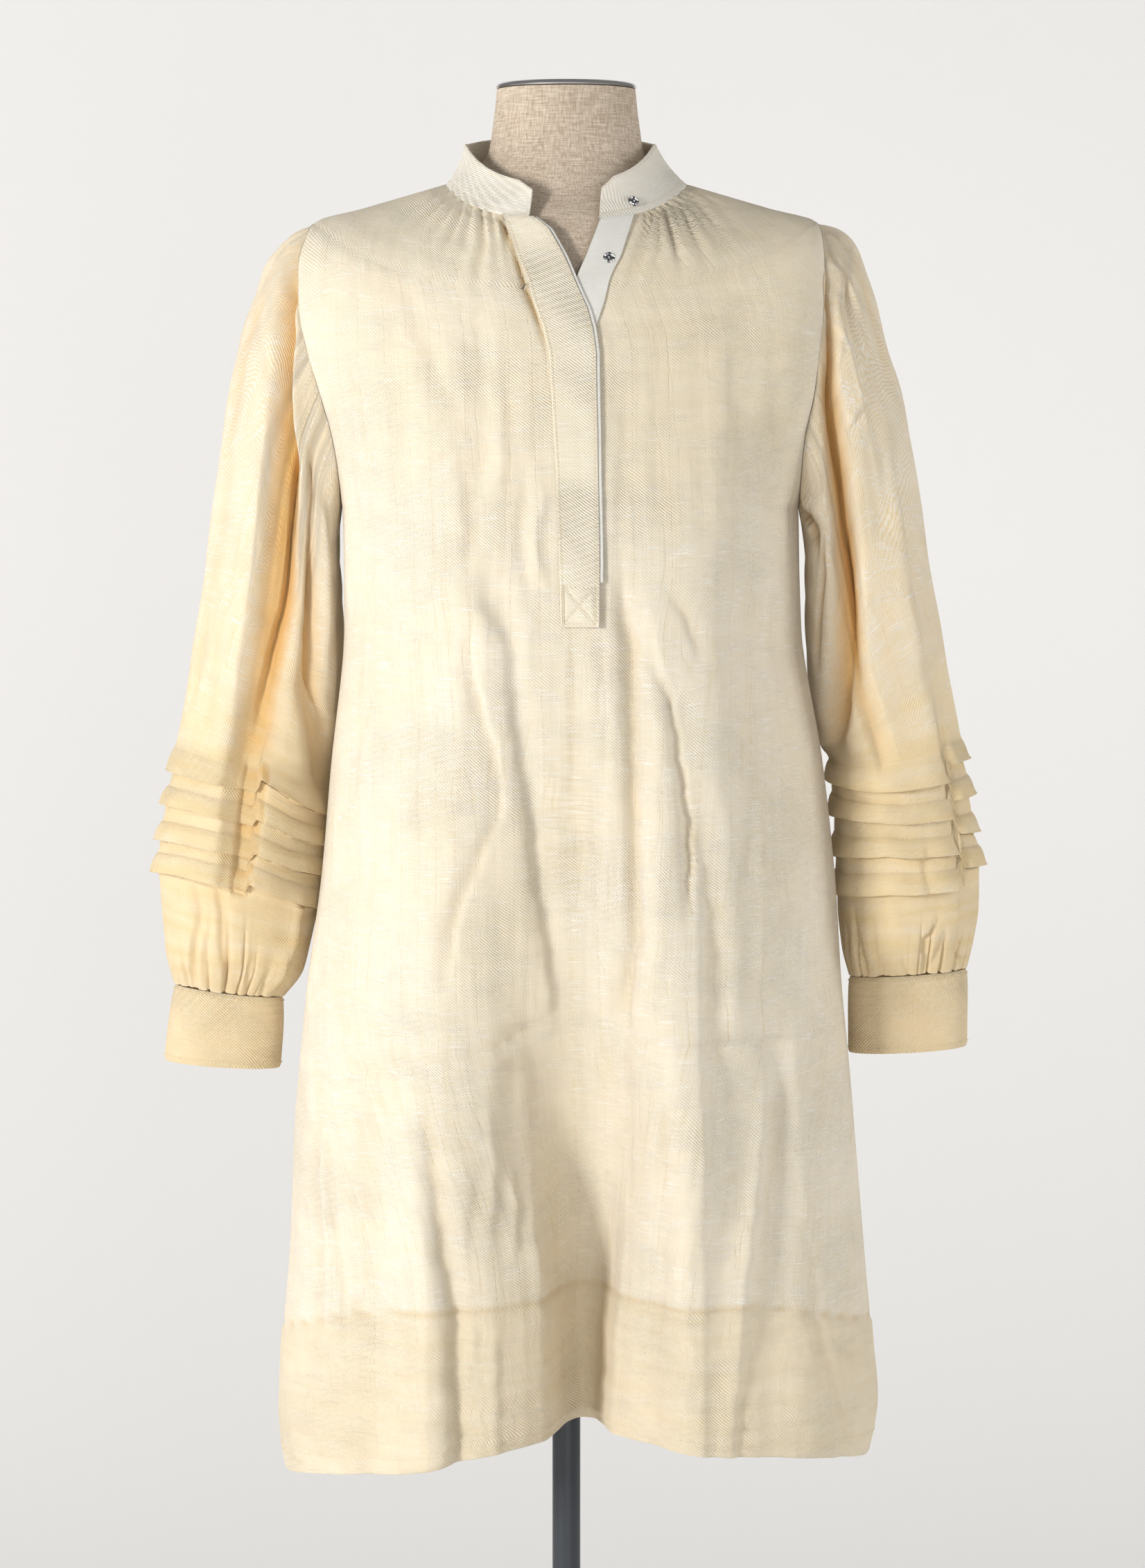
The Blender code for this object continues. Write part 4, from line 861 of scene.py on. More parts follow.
# ---------------------------------------------------------------- meshes
def finish_mesh(name, points, faces, look, loops_uv=None, tones=None, smooth_angle=50):
    faces = [np.asarray(group) for group in faces if len(group)]
    total = sum(np.einsum("ij,ij->", points[f[:, 0]], np.cross(points[f[:, k]], points[f[:, k + 1]]))
                for f in faces for k in range(1, f.shape[1] - 1))
    if total < 0:
        faces = [f[:, ::-1] for f in faces]
        if loops_uv is not None:
            loops_uv = [g[:, ::-1] for g in loops_uv]
    used = np.unique(np.concatenate([f.ravel() for f in faces]))
    place = np.full(len(points), -1)
    place[used] = np.arange(len(used))
    mesh = bpy.data.meshes.new(name)
    mesh.from_pydata(points[used].tolist(), [], [face for f in faces for face in place[f].tolist()])
    if loops_uv is not None:
        layer = mesh.uv_layers.new(name="cloth")
        layer.data.foreach_set("uv", np.concatenate([g.reshape(-1, 2) for g in loops_uv]).ravel())
    for key, values in (tones or {}).items():
        mesh.attributes.new(key, "FLOAT", "POINT").data.foreach_set("value", values[used].astype(np.float32))
    mesh.materials.append(LOOKS[look])
    mesh.shade_smooth()
    mesh.set_sharp_from_angle(angle=math.radians(smooth_angle))
    made = bpy.data.objects.new(name, mesh)
    bpy.context.scene.collection.objects.link(made)
    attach(made, "root")
    return made


def shell(name, outer, inner, look, closed=False, slit=None, tones=None, even=None):
    """A thin wall between two grids of points. slit = (column, rows): parted after that column, above that row."""
    rows, cols = outer.shape[:2]
    index = np.arange(rows * cols).reshape(rows, cols)
    if slit:
        index[slit[1]:, slit[0] + 1] = index[slit[1]:, slit[0]]
    grid = outer
    if closed:
        index = np.concatenate([index, index[:, :1]], axis=1)
        grid = np.concatenate([outer, outer[:, :1]], axis=1)
    widths = np.linalg.norm(np.diff(grid, axis=1), axis=2)
    across = np.concatenate([np.zeros((rows, 1)), np.cumsum(widths, axis=1)], axis=1)
    middle = (slit[0] if slit else grid.shape[1] // 2)
    across -= across[:, middle:middle + 1]
    along, step = unit(np.gradient(grid, axis=1)), np.diff(grid, axis=0)
    step = step - along[1:] * (step * along[1:]).sum(axis=2, keepdims=True)
    step = np.linalg.norm(step, axis=2)
    if even is not None:
        step[even] = step[even].mean(axis=1, keepdims=True)
    down = np.concatenate([np.zeros((1, across.shape[1])), np.cumsum(step, axis=0)])
    uv = np.stack([across, down[rows // 2] - down], axis=2)
    keep = np.arange(index.shape[1] - 1)
    if slit:
        keep = keep[keep != slit[0]]

    def quads(grid_of, swap):
        a, b = grid_of[:-1][:, keep], grid_of[1:][:, keep]
        c, d = grid_of[1:][:, keep + 1], grid_of[:-1][:, keep + 1]
        order = (a, d, c, b) if swap else (a, b, c, d)
        return np.stack(order, axis=2).reshape((-1, 4) + grid_of.shape[2:])

    count = rows * cols
    faces = [quads(index, False), quads(index + count, True)]
    uvs = [quads(uv, False), quads(uv, True)]

    def rim(line, uv_line, other):
        a, b = line[:-1], line[1:]
        order = (a, a + count, b + count, b) if other else (a, b, b + count, a + count)
        p, q = uv_line[:-1], uv_line[1:]
        corners = (p, p, q, q) if other else (p, q, q, p)
        faces.append(np.stack(order, axis=1))
        uvs.append(np.stack(corners, axis=1))

    for r, other in ((0, False), (rows - 1, True)):
        parts = [slice(0, index.shape[1])]
        if slit:
            parts = [slice(0, slit[0] + 1), slice(slit[0] + 1, cols)]
        for part in parts:
            rim(index[r, part], uv[r, part], other)
    if not closed:
        rim(index[:, 0], uv[:, 0], True)
        rim(index[:, -1], uv[:, -1], False)
    if slit:
        top = slice(0, slit[1] + 1)
        rim(index[top, slit[0]], uv[top, slit[0]], False)
        rim(index[top, slit[0] + 1], uv[top, slit[0] + 1], True)
    points = np.concatenate([outer.reshape(-1, 3), inner.reshape(-1, 3)])
    tones = {key: np.concatenate([values.ravel(), values.ravel()]) for key, values in (tones or {}).items()}
    return finish_mesh(name, points, faces, look, uvs, tones)


def turned(name, profile, look, segments, place=(0, 0, 0), out=(0, 0, 1), petals=False):
    """A profile of (radius, height) pairs, bottom to top, turned round `out` at `place`; petals notch its rim."""
    profile = np.array(profile, dtype=float)
    angle = np.arange(segments) * 2 * math.pi / segments
    ring = profile[1:-1]
    wave = (0.5 + 0.5 * np.cos(4 * angle + 0.6)) ** 2 if petals else np.zeros(segments)
    share = ring[:, 1:] / max(profile[:, 1].max(), 1e-9)
    radius = ring[:, :1] * (1 - 0.22 * wave[None, :] * (share > 0.5))
    height = ring[:, 1:] * (1 - 0.35 * wave[None, :] * (share > 0.5))
    grid = points_of(radius * np.cos(angle), radius * np.sin(angle), height)
    # dark: painted shade in the snap's grooves and in the notches between its petals
    dark = np.clip(wave[None, :] * (ring[:, :1] > 0.0011) + ((ring[:, :1] > 0.0008) & (ring[:, :1] < 0.0020)), 0, 1)
    tones = {"tone": np.concatenate([dark.ravel(), [0, 0]])} if petals else None
    points = np.concatenate([grid.reshape(-1, 3), [(0, 0, profile[0, 1])], [(0, 0, profile[-1, 1])]])
    turn = np.array(Vector(out).to_track_quat("Z", "Y").to_matrix())
    points = points @ turn.T + np.array(place)
    index = ring_index(len(ring), segments)
    quads = np.stack([index[:-1, :-1], index[:-1, 1:], index[1:, 1:], index[1:, :-1]], axis=2).reshape(-1, 4)
    low, high = len(ring) * segments, len(ring) * segments + 1
    bottom = np.stack([index[0, 1:], index[0, :-1], np.full(segments, low)], axis=1)
    top = np.stack([index[-1, :-1], index[-1, 1:], np.full(segments, high)], axis=1)
    return finish_mesh(name, points, [quads, bottom, top], look, tones=tones, smooth_angle=35)


def resample(path, out, pitch):
    """Places every `pitch` along a path, with their directions and normals."""
    along = lengths(path)
    places = np.arange(pitch / 2, along[-1], pitch)
    middle, ahead, normal = (np.stack([np.interp(where, along, line[:, k]) for k in range(3)], axis=1)
                             for where, line in ((places, path), (places + pitch / 4, path), (places, out)))
    return middle, unit(ahead - middle), unit(normal)


# The rings of a stitch: share of its length, share of its thickness, height over the cloth.
STITCH = ((-0.5, 0.45, -0.0002), (-0.22, 1.0, 0.00022), (0.22, 1.0, 0.00022), (0.5, 0.45, -0.0002))


def stitch_rows(name, rows, look, pitch=0.0030, length=0.0022, radius=0.00030):
    """Rows of stitches: each a small thread of four rings that rises out of the cloth and goes back in."""
    points, faces, count = [], [], 0
    turn = (np.arange(4) * math.pi / 2 + math.pi / 4)[None, :, None]
    for path, out in rows:
        middle, along, normal = resample(path, out, pitch)
        side, up = np.cross(along, normal)[:, None, :], normal[:, None, :]
        rings = []
        for share, thick, rise in STITCH:
            centre = middle + along * length * share + normal * rise
            rings.append(centre[:, None, :] + radius * thick * (np.cos(turn) * side + np.sin(turn) * up))
        points.append(np.stack(rings, axis=1).reshape(-1, 3))
        base = count + np.arange(len(middle) * 16).reshape(-1, 4, 4)
        after = np.roll(base, -1, axis=2)
        quads = np.stack([base[:, :-1], base[:, 1:], after[:, 1:], after[:, :-1]], axis=3).reshape(-1, 4)
        faces += [quads, base[:, 0, ::-1], base[:, 3, :]]
        count += len(middle) * 16
    return finish_mesh(name, np.concatenate(points), faces, look)


# ---------------------------------------------------------------- sleeve surface
# Rows of the sleeve that carry tucks, at their stitch line and at their lower edge.
TUCKS = ((9.0, 10.0), (12.0, 13.0), (15.0, 16.0), (18.0, 19.0))
SLEEVES = {"sleeve_right": (SLEEVE_RIGHT, True), "sleeve_left": (SLEEVE_LEFT, False)}
# How far the tucks hang below their ring, by degrees round and row: they break at a deep fold and start again higher.
HANG_ROWS = (7.5, 10, 13, 16, 19, 21)
HANGS = {
    "sleeve_right": table("""-180 -90 0 54 78 98.5 101 126 144 180
0 0 0 0 0 0 0 0 0 0
13 4 9 5.5 4 3 -7.5 5 9.5 13
6.5 2 6.5 1 -0.5 -1 -7 1 3 6.5
-2.5 1 6 -2.5 -6 -5 -11 -5.5 -4.5 -2.5
-1 1 5 -4 -6.5 -6 -13 -7 -4.5 -1
0 0 0 0 0 0 0 0 0 0"""),
    "sleeve_left": table("""-180 -90 0 36 48 50.5 90 108 144 180
0 0 0 0 0 0 0 0 0 0
-4 1 2.5 1 1 13.5 11.5 9.5 2 -4
-5.5 1 1.5 1 0.5 13.5 9 5 -2 -5.5
-3.5 1 2 -2 -4 10.5 5 0.5 -2 -3.5
0.5 1 1.5 -2 -3.5 11.5 7 4 2 0.5
0 0 0 0 0 0 0 0 0 0"""),
}
# Finer folds of the shown sleeves, as SLEEVE_FOLDS.
FINE_SLEEVE = {
    "sleeve_right": creases("""
2.6 60 3.6 68 4.4 70 5.8 74 6.4 72 7.4 70 8.4 73 14 77 19.5 80 | 15 3.5 | -4.5
3 74 4 80 6 84 8 82 9.4 86 14.4 90 18.4 92 | 6 10 | 6
0.6 40 1.4 66 2.2 78 3.4 90 4.6 94 5.4 100 6.2 98 7 90 7.8 88 | 2.6 5 | 6.2
0.8 54 2.2 88 3.4 101 4.6 106 5.4 112 6.2 110 7.4 104 8.4 106 | 5 11 | -6.2
9.4 103 14 104 19.6 101 | 3 22 | -4
2 108 3.4 115 4.4 118 5 122 6 124 6.6 128 7.2 146 | 3.5 6 | 5
2.4 136 4.4 140 6 142 | 10 8 | -3.6
1 20 3 32 5 38 8.5 44 | 12 10 | -2.6
2 8 8 12 | 10 10 | -1.4
7 22 8.2 30 8.9 52 | 6 6 | 2.2
7.6 52 8.8 60 | 5 5 | 2
1 -20 5 -30 8.5 -40 | 10 | 2.6
2 -50 8 -60 | 8 | -2.2
4 165 8.5 172 | 10 | 2.4
2 -150 8.5 -160 | 11 | 2.4
10 -62 20 -66 | 11 | 3.2
10 -120 20 -118 | 11 | 2.8
21 64 21.8 56 23 52 | 2.5 5 | 3.2
21 74 21.8 68 22.8 70 | 3 3 | 1.8
20 80 21.8 84 22.8 90 | 2.5 6 | 3.4
22 44 22.4 44 23 44 | 3 4 | 2.6
21.6 108 22 106 22.8 110 | 3 4 | 2.8
22 124 22.4 124 23 128 | 3 3 | 2.4
18.8 140 21 144 22.4 138 | 8 4 | -4
20.2 64 20.8 64 | 5 6 | 2.6
22 96 22.8 98 | 3 4 | 2
21.6 140 22.8 150 | 3 5 | 2.6""", 1),
    "sleeve_left": creases("""
0.4 56 1.2 74 2 90 3.2 98 4 100 5 105 5.8 109 | 5 6 | 7.5
5 106 5.8 109 6.4 114 7.2 114 8.2 109 8.9 106 | 8 4 | 6
1 55 2 78 3.2 84 4 86 5 92 6.2 96 7.4 96 8.6 90 | 14 4 | -4
1.8 118 4 120 5.2 124 6.2 138 | 5 12 | -3.6
1.5 50 4 56 6 60 | 13 | -5
2.6 57 3.4 55 5 53 6.5 57 8 56 | 9 | -2
0.4 168 1.6 150 3.2 138 | 6 5 | 6.2
0.6 150 1.8 136 3 124 | 5 6 | -3.5
3.4 128 4.4 134 5.6 150 | 5 5 | 4.2
1.6 126 3 114 | 5 5 | 2.4
0.8 20 2.4 22 4 28 | 6 4 | 2.2
0.6 34 1.6 46 2.4 58 | 4 3 | 3
8.9 47 14 47 20 46 | 5 2.5 | 4.8
9 66 14 68 20 66 | 14 14 | -1.6
15 76 18 80 20.4 78 | 5 3 | 2.2
1 -20 5 -30 8.5 -38 | 10 | 2.6
2 -48 8 -58 | 8 | -2.2
2 -150 8.5 -160 | 11 | 2.4
10 -62 20 -64 | 11 | 3
10 -120 20 -120 | 11 | 2.8
21.2 142 22 138 22.8 136 | 3 4 | 3
21.2 126 22 124 23 120 | 4 3 | 3
21 70 21.6 80 22.8 78 | 5 2.5 | 3.6
21.6 64 22.2 68 22.8 72 | 4 3 | 2.4
22.4 98 23 92 | 3 3 | 2
22.2 114 23 112 | 3 3 | 2
22.2 50 22.8 34 | 4 3 | 2.6
21.4 156 22.6 162 | 4 4 | 2
20.6 108 21.2 100 | 10 10 | -2.2""", 1),
}
# Thin creases across a sleeve, at places (degrees round, row), with half widths in rows.
CROSS_SLEEVE = {
    "sleeve_right": creases("""
48 7.9 62 7.6 72 7.7 | 0.06 | 1
10 5.2 40 5 60 5.2 | 0.1 | 0.8""", 1),
    "sleeve_left": creases("""
46 6.8 66 6.5 92 6.2 | 0.05 | 1.6
56 3.9 70 3.6 86 3.3 | 0.07 | 1.8
20 5.4 50 5.6 80 5.5 | 0.1 | 0.8""", 1),
}


def sleeve_base(table, degrees, at, set_off=SLEEVE_SET):
    ring = dict(zip(RING, np.moveaxis(smooth(table, at), -1, 0)))
    angle = np.radians(degrees)
    outer = points_of(ring["xo"], ring["y"], ring["zo"])
    inner = points_of(ring["xi"], ring["y"], ring["zi"])
    points = (outer + inner) / 2 + (outer - inner) / 2 * np.cos(angle)[..., None]
    points[..., 1] -= ring["deep"] * np.sin(angle)
    if len(table) > 2:
        side = -1 if table is SLEEVE_RIGHT else 1
        turn = np.abs(signed(degrees))
        share = np.clip(1 - at / 2, 0, 1) ** 2
        points[..., 0] += (arm_x(turn, side) + set_off - points[..., 0]) * share
    return points


def sleeve_normal(table, degrees, at):
    round_it = sleeve_base(table, degrees + 3, at) - sleeve_base(table, degrees - 3, at)
    upper, lower = np.maximum(at - 0.4, 0), np.minimum(at + 0.4, len(table) - 1)
    down = sleeve_base(table, degrees, lower) - sleeve_base(table, degrees, upper)
    return unit(np.cross(round_it, down))


def fold_depth(folds, degrees, at):
    total = np.zeros(np.broadcast(degrees, at).shape)
    for places, half, depth in folds:
        rows, turns = places.T
        fade = ease((at - rows[0] + 0.9) / 1.8) * ease((rows[-1] + 0.9 - at) / 1.8)
        away = degrees - np.interp(at, rows, turns) + 0.5 * np.sin(at * 5 + rows[0]) + 0.3 * np.sin(at * 13)
        total += depth * fade * beside(signed(away), half)
    return total


def hang(name, degrees, at):
    """How far down the tucks lie at this place."""
    (turns, lines), total = HANGS[name], 0.0
    turns = np.array(turns, dtype=float)
    weights = np.interp(at, HANG_ROWS, np.arange(len(HANG_ROWS)))
    for n, line in enumerate(lines):
        total = total + np.interp(degrees, turns, line) * ease(1 - np.abs(weights - n))
    return total


def sleeve_cross(name, degrees, at):
    total = np.zeros(np.broadcast(degrees, at).shape)
    for places, half, depth in CROSS_SLEEVE[name]:
        turns, rows = places.T
        fade = ease((degrees - turns[0] + 6) / 12) * ease((turns[-1] + 6 - degrees) / 12)
        total += depth * fade * beside(at - np.interp(degrees, turns, rows), half)
    return total


def tuck_band(name, degrees, at):
    """The deep fold that runs through the right sleeve's tucks, 0 to 1."""
    if name != "sleeve_right":
        return np.zeros(np.broadcast(degrees, at).shape)
    low, high = np.interp(at, (8.5, 20.0), (86.0, 88.0)), np.interp(at, (8.5, 20.0), (108.0, 103.0))
    return ease((degrees - low) / 2.2) * ease((high - degrees) / 1.6) * ease((at - 8.7) / 0.5) * ease((20.3 - at) / 0.5)


def pleats(degrees, seed, count):
    """Uneven gathers round a ring, -1 to 1, all alike at the ends so that they meet."""
    a = np.radians(degrees)
    warp = a * count + 0.9 * np.sin(3 * a + seed) + 0.7 * np.sin(5 * a + 2.1 * seed)
    ridge = 1 - np.abs(np.sin(warp / 2)) * 2
    return np.sign(ridge) * np.abs(ridge) ** 0.8 * (0.72 + 0.28 * np.sin(4 * a + 1.7 * seed))


def sleeve_outer(name, degrees, at, lift):
    """(points, normals) of the shown sleeve; lift is what the tucks add."""
    table, mirrored = SLEEVES[name]
    degrees, at, lift = np.broadcast_arrays(degrees, at, lift)
    turned_to = signed(degrees)
    seed = 1.0 if mirrored else 2.3
    points = sleeve_base(table, degrees, at, SHOWN_SET)
    out = sleeve_normal(table, degrees, at)
    points[..., 2] -= hang(name, turned_to, at)
    head = at < 0.02
    flat = out.copy()
    flat[..., 0] = 0
    out = np.where(head[..., None], unit(flat), out)
    strength = smooth(table, at)[..., RING.index("pleat")]
    top = HEAD_PLEAT * ease(1.5 - np.abs(turned_to) / 80) * ease(at / 0.8 + 0.15) * pleats(degrees, seed, 17)
    a = np.radians(degrees)
    warp = np.sin(a * 13 + 1.2 * np.sin(3 * a + seed) + 0.9 * np.sin(5 * a + 2 * seed))
    low = CUFF_PLEAT * (0.35 - 1.3 * bell(warp / 0.30)) * (0.55 + 0.45 * np.sin(4 * a + 1.7 * seed))
    low = low * ease((at - 20.6 - 0.5 * np.sin(6 * a + seed)) / 1.8)
    raised = np.where(at > 12, low, top * strength)
    raised = raised - fold_depth(SLEEVE_FOLDS[name], turned_to, at) - fold_depth(FINE_SLEEVE[name], turned_to, at)
    raised = raised - sleeve_cross(name, turned_to, at) - 0.0030 * tuck_band(name, turned_to, at)
    crumple = 0.0008 * np.sin(np.radians(degrees) * 7 + at * 1.9 + seed) * np.sin(at * 2.3 + np.radians(degrees) * 3)
    raised = raised + crumple * ease(at / 2) * ease((22 - at) / 2) + lift
    points = points + out * raised[..., None]
    if mirrored:
        points = points * (-1, 1, 1)
        out = out * (-1, 1, 1)
    return points, out


# A tuck from its stitches to its edge and back in under itself: share of the way, lift.
TUCK_FLAP = ((0.0, 0.0004), (0.12, 0.0018), (0.3, 0.0032), (0.5, 0.0044), (0.7, 0.0053), (0.86, 0.0059),
             (0.96, 0.0062), (1.0, 0.0059), (1.005, 0.0053), (0.98, 0.0046), (0.85, 0.0036), (0.65, 0.0026),
             (0.45, 0.0016), (0.36, 0.0007), (0.42, -0.0002), (0.6, -0.0007), (0.8, -0.0008))


def sleeve_path():
    """Rows down the sleeve as (row, lift), each tuck a flap that turns back under itself."""
    rows = [(r, 0.0) for r in np.arange(0, 2, 0.08)] + [(r, 0.0) for r in np.arange(2, 9, 0.115)]
    for n, (top, edge) in enumerate(TUCKS):
        span = edge - top
        rows += [(top + span * share, lift) for share, lift in TUCK_FLAP]
        after = TUCKS[n + 1][0] if n < 3 else 20.0
        rows += [(r, -0.0006 * max(0.0, 1 - (r - edge) / 0.6)) for r in np.linspace(edge + 0.02, after - 0.02, 9)]
    rows += [(r, 0.0) for r in np.linspace(20.0, 23.0, 44)]
    return np.array(rows)


def make_sleeve(name):
    path = sleeve_path()
    # closer together in front
    degrees = np.concatenate([np.linspace(0, 180, 136, endpoint=False), np.linspace(180, 360, 60, endpoint=False)])
    at, lift = path[:, :1], path[:, 1:]
    outer, out = sleeve_outer(name, degrees[None, :], at, lift)
    # the flap's own folded rows face down and in, so the wall follows the shown surface's own normal
    around = np.roll(outer, -1, axis=1) - np.roll(outer, 1, axis=1)
    down = np.gradient(outer, axis=0)
    own = unit(np.cross(around, down))
    if SLEEVES[name][1]:
        own = -own
    inner = outer - own * SLEEVE_CLOTH
    inner[0] = outer[0] - out[0] * SLEEVE_CLOTH
    turned_to = signed(degrees[None, :])
    # fold: painted shade in the sleeve's folds
    depth = fold_depth(SLEEVE_FOLDS[name], turned_to, at) * 0.7 + fold_depth(FINE_SLEEVE[name], turned_to, at)
    fold = np.clip(depth / 0.014, 0, 0.85)
    for _, edge in TUCKS:
        # the cloth just under each tuck's edge, and the flap's own turned side, lie in its shade
        under = bell((at - edge) / 0.16) * (lift < 0.0030) * ((at > edge - 0.62) | (lift < 0.0022))
        fold = np.maximum(fold, 0.75 * under)
    # painted shade in the deep fold through the right sleeve's tucks
    fold = np.maximum(fold, 0.9 * tuck_band(name, turned_to, at))
    # tone: darker from above the tucks down to the cuff, partly painted shade and partly the tucks' doubled cloth
    dusk = np.broadcast_to(0.10 + 0.90 * ease((at - 6.5) / 3.0), fold.shape)
    return shell("shown_" + name, outer, inner, "sleeve_cloth", closed=True, tones={"fold": fold, "tone": dusk},
                 even=(path[1:, 0] > 8.0) & (path[1:, 0] < 20.5))


def cuff_surface(name, degrees, share):
    """(points, normals) of a cuff, from its top ring, share 0, to its bottom ring, share 1."""
    table = np.array([(*ring[:6], 0, 0) for ring in CUFFS[name]])
    turn = (-1 if name == "cuff_right" else 1, 1, 1)
    return sleeve_base(table, degrees, share) * turn, sleeve_normal(table, degrees, share) * turn


def make_cuff(name):
    share, degrees = np.broadcast_arrays(np.linspace(0.0, 1.0, 26)[:, None], (np.arange(120) * 3.0)[None, :])
    points, out = cuff_surface(name, degrees, share)
    belly = np.sin(math.pi * share)
    lift = 0.0006 * belly
    lift = lift + 0.0005 * np.sin(np.radians(degrees) * 2 + 3 * share + (1 if name == "cuff_right" else 2)) * belly
    for line in CUFF_SEAMS:
        lift = lift - 0.0004 * bell((share - line) / 0.02)
    # the closed edge rolls over into the wall
    roll = 1 - np.sqrt(np.clip(1 - (np.abs(share - 0.5) * 2) ** 40, 0, 1))
    outer = points + out * (lift - 0.0009 * roll)[..., None]
    inner = points - out * (0.0018 - 0.0005 * roll)[..., None]
    return shell("shown_" + name, outer, inner, "cuff_cloth", closed=True)


# ---------------------------------------------------------------- body pieces
def edge_places(at):
    """The slit's two edges at each row, as x."""
    z = body_row(FRONT, at)["zc"]
    left, right = line_at(OVER_RIGHT, z) - 0.0025, line_at(UNDER_LEFT, z) + 0.0025
    middle = line_at(OVER_RIGHT, z) - 0.006
    half = np.where(at < SLIT_LINE, 0.001, 0.0)
    near = right - left < 0.003
    return np.where(near, middle - half, left), np.where(near, middle + half, right)


def even_rows(table, count, extra=()):
    """Row places an even distance apart down the centre, with some more put in."""
    fine = np.linspace(0, LAST_ROW, 1900)
    along = lengths(body_base(table, np.full(1900, 0.35), fine))
    return np.unique(np.round(np.concatenate([np.interp(np.linspace(0, along[-1], count), along, fine), extra]), 4))


def body_piece(name, table, at, u, seam, slit=None):
    """The shown front or back; seam is where its side seams lie, in y."""
    rows = np.broadcast_to(at[:, None], u.shape)
    outer, out = body_outer(table, u, rows)
    outer = outer + np.array((0, seam, 0))
    hem = ease((rows - hem_row(u)) / 0.05)
    wall = CLOTH + HEM_CLOTH * hem
    # the hem's edge is a fold, so it is round
    fold = np.clip((rows - 18.90) / 0.10, 0, 1) ** 3
    outer = outer - out * (0.35 * wall * fold)[..., None]
    inner = outer - out * (wall * (1 - 0.45 * fold))[..., None]
    # tone: the turned-up hem's own deeper colour, and on the front painted shade as well
    tone = np.maximum(hem, painted_front_shade(u, rows)) if table is FRONT else hem
    # fold: painted shade in the folds, creases and gathers, under the placket's edge and along the hem's stitches
    return shell(name, outer, inner, "body_cloth", slit=slit, tones={"tone": tone, "fold": body_valley(table, u, rows)})


def make_front():
    at = even_rows(FRONT, 190, (SLIT_LINE, *HEM_ROWS))
    left, right = (row_u(body_row(FRONT, at), x)[:, None] for x in edge_places(at))
    t = np.linspace(0, 1, 112)
    t = t * (0.55 + 0.45 * t)
    u = np.concatenate([left + (-1 - left) * t[None, ::-1], right + (1 - right) * t[None, :]], axis=1)
    return body_piece("shown_body_front", FRONT, at, u, -SEAM_HALF, (111, int(np.searchsorted(at, SLIT_LINE))))


def make_back():
    at = even_rows(BACK, 130, HEM_ROWS)
    u = np.broadcast_to(np.linspace(-1, 1, 170)[None, :], (len(at), 170))
    return body_piece("shown_body_back", BACK, at, u, SEAM_HALF)


ROW_PLACES = np.linspace(0, LAST_ROW, 1901)
ROW_HEIGHTS = body_base(FRONT, np.zeros(1901), ROW_PLACES)[:, 2]


def line_for_z(z):
    """The row whose centre is at this height."""
    return np.interp(z, ROW_HEIGHTS[::-1], ROW_PLACES[::-1])


def on_front(x, z, lift=0.0, plain=False):
    """Points lying on the shown front at these x and (centre) heights, lifted off it."""
    x, z = np.broadcast_arrays(np.asarray(x, dtype=float), np.asarray(z, dtype=float))
    at = line_for_z(z)
    points, out = body_outer(FRONT, row_u(body_row(FRONT, at), x), at, plain)
    return points + out * np.asarray(lift)[..., None], out


def strip(name, look, left, right, z, lifts, thick, columns=14, sewn=None):
    """A strip that lies on the front, its long edges rounded over; sewn = how far its stitching draws it in."""
    rows = len(z)
    share = (1 - np.cos(np.linspace(0, math.pi, columns))) / 2
    height = np.interp(share, [s for s, _ in lifts], [h for _, h in lifts])
    x = left(z)[:, None] + (right(z) - left(z))[:, None] * share[None, :]
    width = (right(z) - left(z))[:, None]
    edge = np.minimum(share, 1 - share)[None, :] * width
    roll = thick * 0.5 * rolled(edge / (thick * 0.6))
    ends = np.minimum(np.arange(rows), np.arange(rows)[::-1])[:, None]
    roll = np.maximum(roll, np.where(ends == 0, thick * 0.4, 0.0))
    seam = 0.00035 * bell((edge - 0.0022) / 0.0007)
    swell = 0.00025 * np.sin(z * 95)[:, None] * np.sin(math.pi * share)[None, :]
    if sewn:
        swell = swell - sewn(x, z[:, None])
    points, out = on_front(x, z[:, None], 0.0, True)
    outer = points + out * (height[None, :] + thick - roll - seam + swell)[..., None]
    inner = points + out * (height[None, :] + roll * 0.6)[..., None]
    return shell(name, outer, inner, look)


# The stitched box with its cross at the placket's foot, as (x, z) corners.
SEWN_BOX = ((-0.0015, 1.1355), (0.0205, 1.1345), (0.0205, 1.1085), (-0.0015, 1.1090))
SEWN_LINES = (*zip(SEWN_BOX, (*SEWN_BOX[1:], SEWN_BOX[0])), (SEWN_BOX[0], SEWN_BOX[2]), (SEWN_BOX[1], SEWN_BOX[3]))


def sewn_in(x, z):
    total = np.zeros(np.broadcast(x, z).shape)
    for (x0, z0), (x1, z1) in SEWN_LINES:
        length = math.hypot(x1 - x0, z1 - z0)
        along = np.clip(((x - x0) * (x1 - x0) + (z - z0) * (z1 - z0)) / length ** 2, 0, 1)
        away = np.hypot(x - x0 - (x1 - x0) * along, z - z0 - (z1 - z0) * along)
        total = np.maximum(total, 0.0009 * bell(away / 0.0011))
    return total


